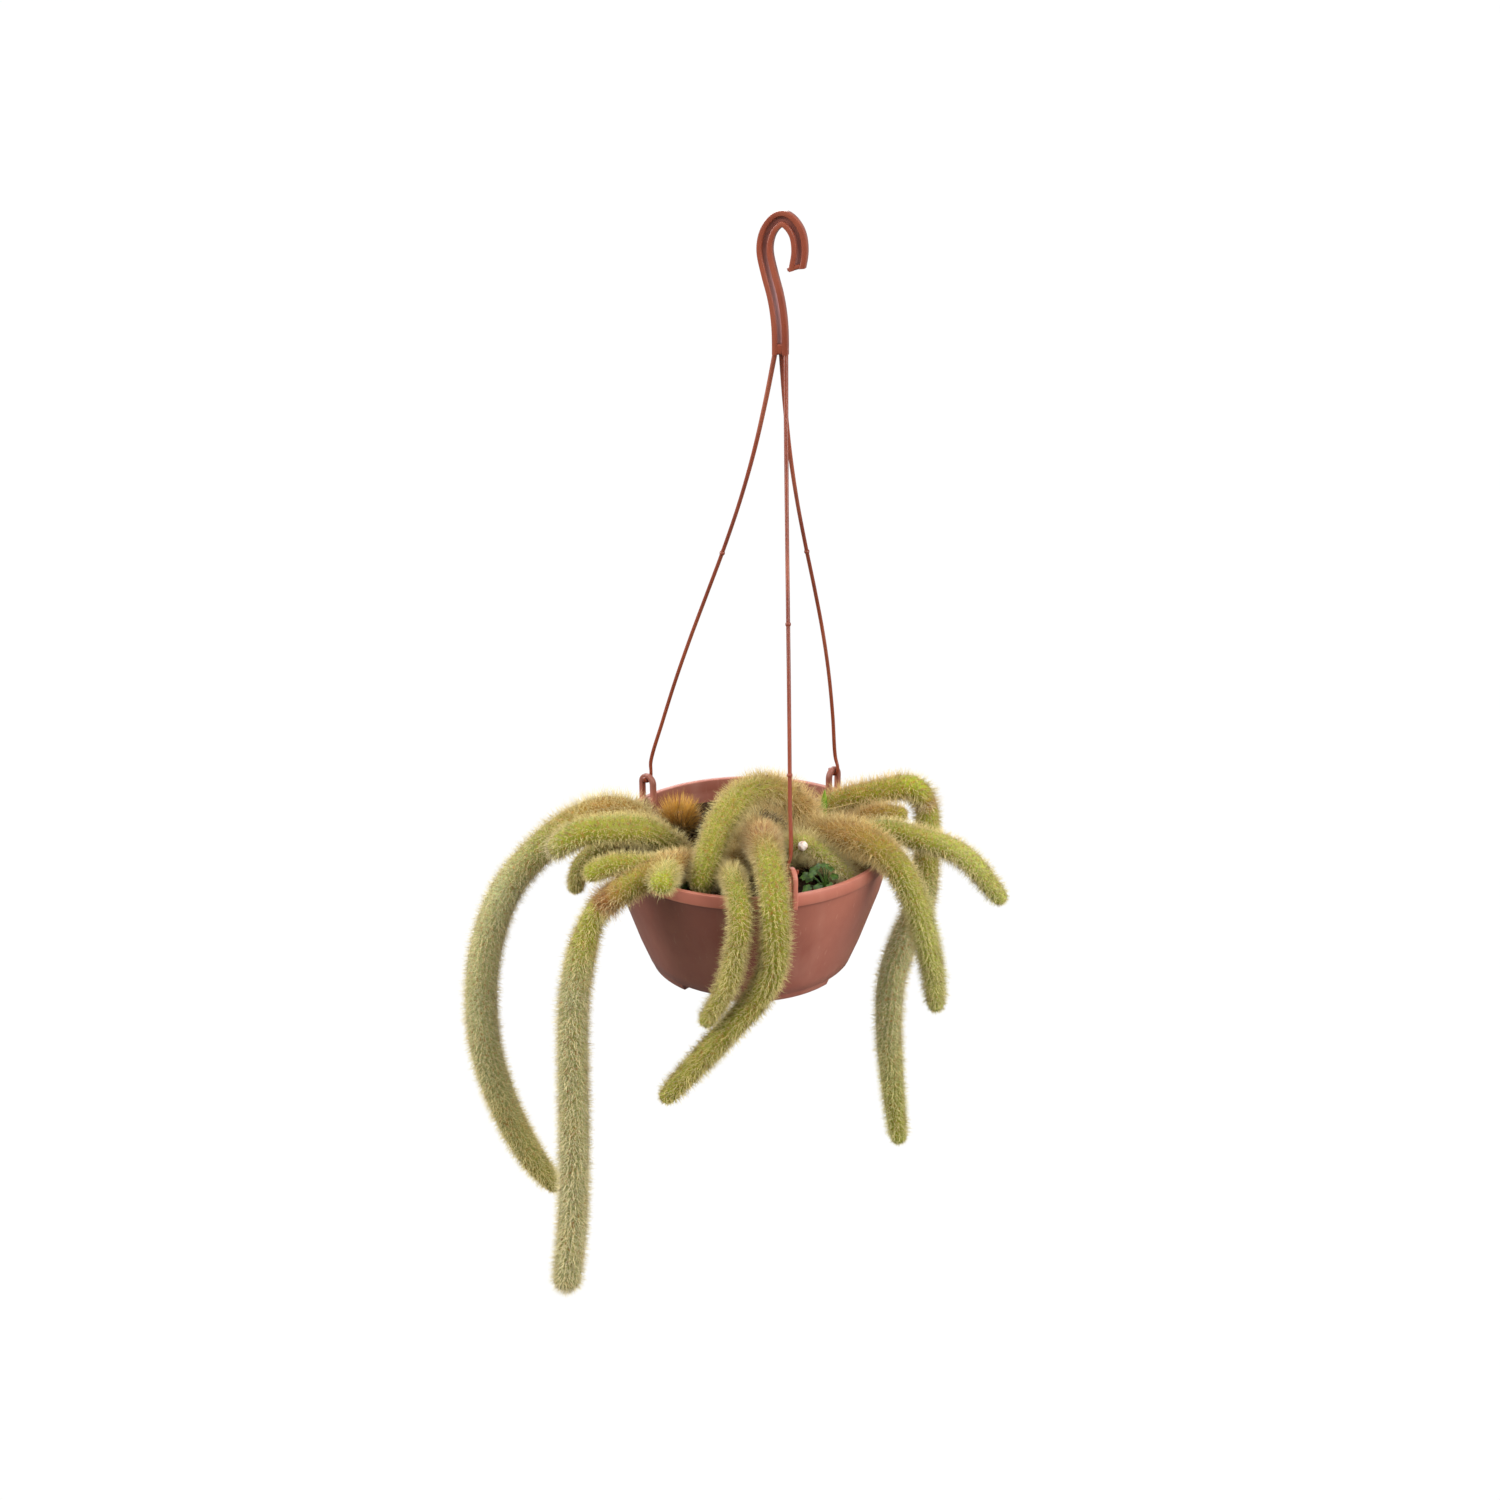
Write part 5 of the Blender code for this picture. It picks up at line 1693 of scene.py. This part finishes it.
    def strand_line(self, strand: Strand) -> np.ndarray:
        """Give a strand's line from the boss to the small hook round the ear.

        Args:
            strand: the strand.

        Returns:
            Points of x, y, z and radius, in millimetres from the rim's centre.
        """
        out, aside = compass(strand.ear)
        crown, reach = out * POT.ear_radius, -aside * self.catch
        wide, narrow, last = self.strand_radii
        catch_z = POT.ear_top - POT.bar[0] - self.catch_play - last + self.catch
        start = np.array((*strand.start, self.strand_top)) - RIM_CENTRE
        end = crown + reach * strand.neck + UP * (POT.ear_top + self.neck_height)
        points = []
        for t in np.linspace(0.0, 1.0, self.strand_points):
            share = t + strand.sag * math.sin(math.pi * t) + strand.sway * math.sin(math.tau * t)
            place = start + (end - start) * share
            place[2] = start[2] + (end[2] - start[2]) * t
            points.append((*place, narrow + (wide - narrow) * max(0.0, 1 - 3 * t)))
        points.append((*(crown + reach + UP * (POT.ear_top + last)), last))
        for t in np.linspace(0.0, math.pi, self.catch_points):
            place = crown + reach * math.cos(t) + UP * (catch_z - self.catch * math.sin(t))
            points.append((*place, last if t < 3.0 else last * 0.7))
        return Route(points, 1.0).rings()

    def strand(self, strand: Strand) -> BMesh:
        """Sweep one strand, with its moulding nubs.

        Args:
            strand: the strand.

        Returns:
            Its shape.
        """
        line = self.strand_line(strand)
        bm = roll_up(round_tube(line, self.strand_sides))
        for share in strand.nubs:
            spot = line[round(share * len(line))]
            nub = bmesh.new()
            bmesh.ops.create_icosphere(nub, subdivisions=2, radius=self.nub_radius * MM)
            bmesh.ops.translate(nub, verts=nub.verts, vec=metres(spot[:3]))
            merge_into(bm, nub)
        return bm

    def build(self, finish: Material) -> None:
        """Build the hanger as one piece.

        Args:
            finish: its material.
        """
        bm = self.crook()
        half = self.band / 2
        cap = self.block(self.route[0], unit(np.array(self.end)), (0.3 - half, half + 0.8), (0.2, 2.9))
        merge_into(bm, cap)
        merge_into(bm, self.block(self.route[-1], UP, (0.4 - half, half - 0.4), (0.3, 7.0)))
        for strand in self.strands:
            merge_into(bm, self.strand(strand))
        mesh = settle(bm, "hanger_moulding")
        # store the channel's painted shade and painted sheen as the tint
        set_tint(mesh, self.tints(read_points(mesh)))
        make_piece("hanger_moulding", mesh, Slot.HANGER, finish, "hanger")


@dataclass
class SoilBed:
    """The uneven soil with its crumbs."""

    around: int = 96
    rings: int = 31
    edge: float = 93.0
    wall: Sequence[Span] = ((92.6, -20.0), (88.5, -34.5), (75.8, -72.0), (69.8, -85.0), (67.0, -86.4),
                            (0.02, -86.4))
    swell: float = 1.6
    swell_scale: float = 0.03
    ripple: float = 1.1
    ripple_scale: float = 0.16
    crumbs: int = 1500
    crumb_reach: float = 92.0
    crumb_sizes: Span = (0.5, 1.9)
    crumb_sink: float = 0.2

    def height(self, x: float, y: float) -> float:
        """Give the soil's height at a place.

        Args:
            x: how far right the place lies.
            y: how far back it lies.

        Returns:
            The height.
        """
        swell = noise.fractal(Vector((x * self.swell_scale, y * self.swell_scale, 0.3)), 1.0, 2.0, 3)
        ripple = noise.fractal(Vector((x * self.ripple_scale, y * self.ripple_scale, 1.7)), 0.9, 2.0, 3)
        return SOIL_TOP + self.swell * swell + self.ripple * ripple

    def bed(self) -> BMesh:
        """Roll up the soil, from the middle of its top to the middle of its underside.

        Returns:
            The bed.
        """
        turn = np.arange(self.around) * math.tau / self.around
        radii = np.concatenate(([0.02], np.linspace(3.0, self.edge, self.rings)))
        rings = []
        for radius in radii:
            ring = [(radius * math.cos(a), radius * math.sin(a)) for a in turn]
            rings.append([(x, y, self.height(x, y) if radius > 1 else SOIL_TOP) for x, y in ring])
        for radius, z in self.wall:
            rings.append([(radius * math.cos(a), radius * math.sin(a), z) for a in turn])
        return roll_up(metres(np.array(rings)))

    def crumb_mesh(self) -> Mesh:
        """Strew crumbs of many sizes and shapes over the soil.

        Returns:
            The mesh of all of them.
        """
        rng = np.random.default_rng(5)
        template = bmesh.new()
        bmesh.ops.create_icosphere(template, subdivisions=1, radius=1.0)
        local = np.array([vert.co for vert in template.verts])
        mesh = many_copies(template, self.crumbs, "soil_crumbs")
        radius = self.crumb_reach * np.sqrt(rng.uniform(0.0, 1.0, self.crumbs))
        angle = rng.uniform(0.0, math.tau, self.crumbs)
        size = rng.uniform(*self.crumb_sizes, self.crumbs) * rng.uniform(0.6, 1.0, self.crumbs)
        spots = np.stack([radius * np.cos(angle), radius * np.sin(angle)], axis=-1)
        heights = np.array([self.height(x, y) for x, y in spots])
        centre = np.column_stack([spots, heights + size * self.crumb_sink])
        stretch = rng.uniform(0.55, 1.35, (self.crumbs, 1, 3))
        rough = rng.uniform(0.82, 1.18, (self.crumbs, len(local), 1))
        write_points(mesh, centre[:, None] + local[None] * stretch * rough * size[:, None, None])
        return mesh

    def build(self, finish: Material) -> None:
        """Build the bed and its crumbs."""
        make_piece("soil_bed", settle(self.bed(), "soil_bed", 60.0), Slot.SOIL, finish, "soil")
        make_piece("soil_crumbs", self.crumb_mesh(), Slot.SOIL, finish)


@dataclass
class Weed:
    """A small weed: bent stalks that each carry a lobed leaf.

    Each leaf is given as its bearing in degrees, the height of its joint and how far out it stands.
    """

    name: str
    root: Span
    leaf: float
    leaves: Sequence[tuple[float, float, float]]
    tilt: float = 0.45
    thick: float = 0.16
    around: int = 24
    stalk: Sequence[float] = (0.45, 0.4, 0.3, 0.15)
    depth: float = 2.0
    droop: float = 0.22
    droop_step: float = 0.1

    def heading(self, degrees: float) -> tuple[np.ndarray, np.ndarray]:
        """Give the level directions ahead and to the left at a bearing from +x.

        Args:
            degrees: the bearing.

        Returns:
            The direction ahead, and the one to its left.
        """
        a = math.radians(degrees)
        return np.array((math.cos(a), math.sin(a), 0.0)), np.array((-math.sin(a), math.cos(a), 0.0))

    def blade(self, joint: np.ndarray, bearing: float, droop: float) -> BMesh:
        """Make one cupped leaf with three soft lobes.

        Args:
            joint: where it meets its stalk.
            bearing: which way it points, in degrees.
            droop: how far its end hangs.

        Returns:
            The leaf.
        """
        upper = [(share, self.thick * (1.0 - share ** 4)) for share in (1.0, 0.96, 0.7, 0.4, 0.02)]
        under = [(share, -self.thick) for share in (0.96, 0.7, 0.4, 0.02)]
        rings = [self.leaf_ring(joint, bearing, droop, share, lift) for share, lift in under + upper]
        return roll_up(metres(np.array(rings)))

    def leaf_ring(self, joint: np.ndarray, bearing: float, droop: float, share: float,
                  lift: float) -> list[np.ndarray]:
        """Give one ring of a leaf.

        Args:
            joint: where the leaf meets its stalk.
            bearing: which way the leaf points, in degrees.
            droop: how far its end hangs.
            share: how far the ring lies from the leaf's middle towards its edge.
            lift: how high it lies.

        Returns:
            The ring's points.
        """
        (out, aside), half, ring = self.heading(bearing), self.leaf / 2, []
        for k in range(self.around):
            turn = math.tau * k / self.around
            lobe = 0.86 + 0.14 * math.cos(5 * turn) - 0.16 * max(0.0, math.cos(turn - math.pi)) ** 8
            u, v = half * (1.0 + share * lobe * math.cos(turn)), half * share * lobe * 0.9 * math.sin(turn)
            z = lift - droop * u * u / (2 * half) - 0.1 * abs(v) + 0.25 * math.sin(3 * turn) * share ** 2
            flat = out * u + aside * v
            ring.append(joint + flat + UP * (z + self.tilt * flat[1]))
        return ring

    def build(self, finish: Material) -> None:
        """Build the weed as one piece.

        Args:
            finish: its material.
        """
        bm = bmesh.new()
        foot = np.array((*self.root, SOIL_TOP - self.depth))
        for k, (bearing, height, reach) in enumerate(self.leaves):
            out, _ = self.heading(bearing)
            joint = foot + out * reach * 0.6 + UP * (height + self.depth)
            middle = foot + out * reach * 0.15 + UP * ((height + self.depth) * 0.6)
            spots = (foot, middle, joint, joint + out * 1.5)
            knots = [(*spot, radius) for spot, radius in zip(spots, self.stalk)]
            merge_into(bm, roll_up(round_tube(Route(knots, 1.0).rings(), 8)))
            droop = self.droop + self.droop_step * (k % 3)
            merge_into(bm, self.blade(joint, bearing, droop))
        make_piece(self.name + "_leaves", settle(bm, self.name, 60.0), Slot.WEED, finish, self.name)


WEEDS = (
    Weed("weed_right", (50.0, -68.0), 7.4, (
        (35, 14, 5), (95, 20, 6), (160, 13, 13), (230, 13, 8), (300, 13, 4), (60, 19, 4), (130, 16, 14),
        (200, 11, 16), (175, 17, 17), (265, 8, 9), (185, 20, 9), (150, 22, 5))),
    Weed("weed_left", (-38.0, -64.0), 6.0, (
        (-25, 6, 5), (60, 8, 5), (145, 7, 5), (250, 6, 4), (15, 9, 3), (105, 5, 7), (200, 9, 4))),
)


@dataclass
class GrassScraps:
    """The green blade and the dry straw at the back right."""

    root: Span = (52.0, 31.5)
    blade_knots: Knots = ((0.0, -3.0, 4.4), (0.0, 14.0, 4.8), (0.2, 26.0, 4.2), (0.6, 35.0, 0.5))
    straw_knots: Knots = ((48, 22, 7.5, 0.7), (56, 16, 11, 1.0), (66, 12, 15.5, 0.9), (76, 9, 19.5, 0.4))
    outline: Sequence[Span] = ((-1, 0.25), (-0.5, -0.1), (0, -0.35), (0.5, -0.1), (1, 0.25), (0.5, 0.35),
                               (0, 0.1), (-0.5, 0.35))
    fold: float = 1.2
    under: float = 0.12

    def sweep(self, knots: Knots, across: Sequence[float], thick: float) -> BMesh:
        """Sweep a flat folded blade along a line that tapers to its tip.

        Args:
            knots: points of x, y, z and width.
            across: which way its width lies.
            thick: its thickness.

        Returns:
            The blade.
        """
        line = Route(knots, 0.8).rings()
        ahead = unit(np.gradient(line[:, :3], axis=0))
        rings = []
        for spot, high in zip(line, unit(np.cross(ahead, across))):
            half = spot[3] / 2
            rings.append([spot[:3] + np.array(across) * half * u
                          + high * (v * min(half, self.fold) + math.copysign(thick / 2, v - self.under))
                          for u, v in self.outline])
        return roll_up(metres(np.array(rings)))

    def build(self, green: Material, dry: Material) -> None:
        """Build the blade and the straw.

        Args:
            green: the blade's material.
            dry: the straw's material.
        """
        x, y = self.root
        knots = [(x + lean, y, SOIL_TOP + height, wide) for lean, height, wide in self.blade_knots]
        mesh = settle(self.sweep(knots, (1.0, 0.0, 0.0), 0.35), "grass_blade_leaf", 60.0)
        make_piece("grass_blade_leaf", mesh, Slot.WEED, green, "grass_blade")
        mesh = settle(self.sweep(self.straw_knots, (0.2, 0.95, 0.2), 0.3), "dry_straw", 60.0)
        make_piece("dry_straw", mesh, Slot.WEED, dry)


@dataclass
class PearlGrain:
    """The pale grain on the stem inside the pot."""

    place: tuple[float, float, float] = (35.1, -47.8, 12.8)
    radius: float = 3.5
    size: float = 0.94
    lumps: float = 0.12
    lump_scale: float = 0.6
    pits: float = 0.05
    pit_scale: float = 1.7

    def build(self, finish: Material) -> None:
        """Build the grain, a little lumpy.

        Args:
            finish: its material.
        """
        bm = bmesh.new()
        bmesh.ops.create_icosphere(bm, subdivisions=4, radius=self.radius * MM)
        for vert in bm.verts:
            spot = vert.co / MM
            vert.co *= (self.size + self.lumps * noise.noise(spot * self.lump_scale)
                        + self.pits * noise.noise(spot * self.pit_scale))
        bmesh.ops.translate(bm, verts=bm.verts, vec=metres(self.place))
        make_piece("white_grain_pearl", settle(bm, "white_grain_pearl", 60.0), Slot.GRAIN, finish,
                   "white_grain")


@dataclass(frozen=True)
class Lamp:
    """One soft area light that looks at the plant."""

    name: str
    place: tuple[float, float, float]
    size: float
    power: float
    colour: Colour = (1.0, 1.0, 1.0)
    aim: tuple[float, float, float] = (-0.02, 0.0, -0.42)

    def hang(self) -> None:
        """Put the light in the scene."""
        lamp = bpy.data.lights.new(self.name, "AREA")
        lamp.size, lamp.energy, lamp.color = self.size, self.power, self.colour
        holder = add_object(self.name, lamp)
        holder.location = self.place
        way = Vector(self.aim) - Vector(self.place)
        holder.rotation_euler = way.to_track_quat("-Z", "Y").to_euler()


@dataclass
class Studio:
    """The camera, the soft lights and the plain pale stage, in metres."""

    distance: float = 1.3
    pitch: float = 22.5
    aim_height: float = 0.062
    sensor: float = 36.0
    focal_share: float = 1917.0 / 1500.0
    floor: float = -1.35
    flat: float = 4.0
    curve: float = 3.0
    top: Span = (7.0, 9.0)
    sky: Span = (0.28, 0.48)
    horizon: float = 0.35
    lamps: Sequence[Lamp] = (
        Lamp("key", (1.76, -1.12, 0.82), 2.1, 66.0, (1.0, 0.99, 0.965)),
        Lamp("fill", (-2.0, -0.45, 0.6), 1.5, 52.0, (1.0, 0.995, 0.98)),
        Lamp("top", (-0.3, -0.1, 1.7), 1.2, 12.0),
        Lamp("back", (-0.5, 1.9, 0.7), 1.6, 34.0),
    )

    def camera(self) -> None:
        """Set the camera where the photograph was taken from."""
        pitch = math.radians(self.pitch)
        lens = bpy.data.cameras.new("camera")
        lens.lens = self.focal_share * self.sensor
        lens.sensor_width = self.sensor
        lens.clip_end = 50.0
        camera = add_object("camera", lens)
        rise = math.sin(pitch) * self.distance + self.aim_height
        camera.location = Vector(RIM_CENTRE * MM) + Vector((0.0, -math.cos(pitch) * self.distance, rise))
        camera.rotation_euler = (math.pi / 2 - pitch, 0.0, 0.0)
        bpy.context.scene.camera = camera

    def surroundings(self) -> None:
        """Light the scene evenly from all round, a little more from above."""
        world = bpy.data.worlds.new("surroundings")
        world.use_nodes = True
        tree = world.node_tree
        split = tree.nodes.new("ShaderNodeSeparateXYZ")
        tree.links.new(tree.nodes.new("ShaderNodeTexCoord").outputs["Generated"], split.inputs["Vector"])
        ramp = tree.nodes.new("ShaderNodeMapRange")
        ramp.inputs["From Min"].default_value = -self.horizon
        ramp.inputs["From Max"].default_value = self.horizon
        ramp.inputs["To Min"].default_value = self.sky[0]
        ramp.inputs["To Max"].default_value = self.sky[1]
        tree.links.new(split.outputs["Z"], ramp.inputs["Value"])
        glow = tree.nodes["Background"]
        glow.inputs["Color"].default_value = (1.0, 1.0, 1.0, 1.0)
        tree.links.new(ramp.outputs["Result"], glow.inputs["Strength"])
        bpy.context.scene.world = world
        bpy.context.scene.view_settings.view_transform = "Standard"

    def stage(self, finish: Material) -> None:
        """Turn the floor and the backdrop that it curves up into, as one wide bowl.

        Args:
            finish: the backdrop's material.
        """
        profile = [(0.0, 0.0), (self.flat, 0.0)]
        for a in np.linspace(0.1, math.pi / 2, 12):
            profile.append((self.flat + self.curve * math.sin(a), self.curve - self.curve * math.cos(a)))
        profile.append(self.top)
        bm = turn_round(((radius, 0.0, self.floor + z) for radius, z in profile), (0, 0, 0), 64, 0.0001)
        bmesh.ops.reverse_faces(bm, faces=bm.faces)
        mesh = settle(bm, "stage", 60.0)
        mesh.materials.append(finish)
        stage = add_object("stage", mesh)
        stage.visible_diffuse = False
        stage.visible_glossy = False
        stage.visible_transmission = False
        stage.visible_shadow = False

    def build(self, finish: Material) -> None:
        """Set up the camera, lights, surroundings and stage.

        Args:
            finish: the backdrop's material.
        """
        self.camera()
        for lamp in self.lamps:
            lamp.hang()
        self.surroundings()
        self.stage(finish)


TERRACOTTA = MouldedPlastic("terracotta_plastic", (214, 134, 112), (238, 174, 152), (190, 110, 90),
                            roughness=0.45, grain=0.25, scuffs=0.35)
RED_BROWN = MouldedPlastic("red_brown_plastic", (150, 74, 50), (190, 118, 90), (122, 56, 38),
                           roughness=0.26, grain=0.05, scuffs=0.05)
WEED_GREEN = GreenLeaf("weed_green", (32, 60, 15), (78, 112, 34))
GRASS_GREEN = GreenLeaf("grass_green", (88, 132, 30), (146, 176, 60))
DRY_STRAW = GreenLeaf("straw_dry", (176, 152, 78), (206, 184, 112))


def main() -> None:
    """Build every piece of the plant, its pot and the studio, in order."""
    logging.basicConfig(level=logging.INFO, format="%(message)s")
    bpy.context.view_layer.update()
    skin, hair = CactusSkin().make(), SpineHair().make()
    POT.build(TERRACOTTA.make())
    StrandHanger().build(RED_BROWN.make())
    SoilBed().build(PottingSoil().make())
    for seed, stem in enumerate(STEMS):
        stem.build(skin, hair, seed)
    GoldenStub().build(skin, hair)
    YoungShoots().build(skin, hair)
    leaf = WEED_GREEN.make()
    for weed in WEEDS:
        weed.build(leaf)
    GrassScraps().build(GRASS_GREEN.make(), DRY_STRAW.make())
    PearlGrain().build(MineralGrain().make())
    Studio().build(PalePaint().make())


if __name__ == "__main__":
    main()
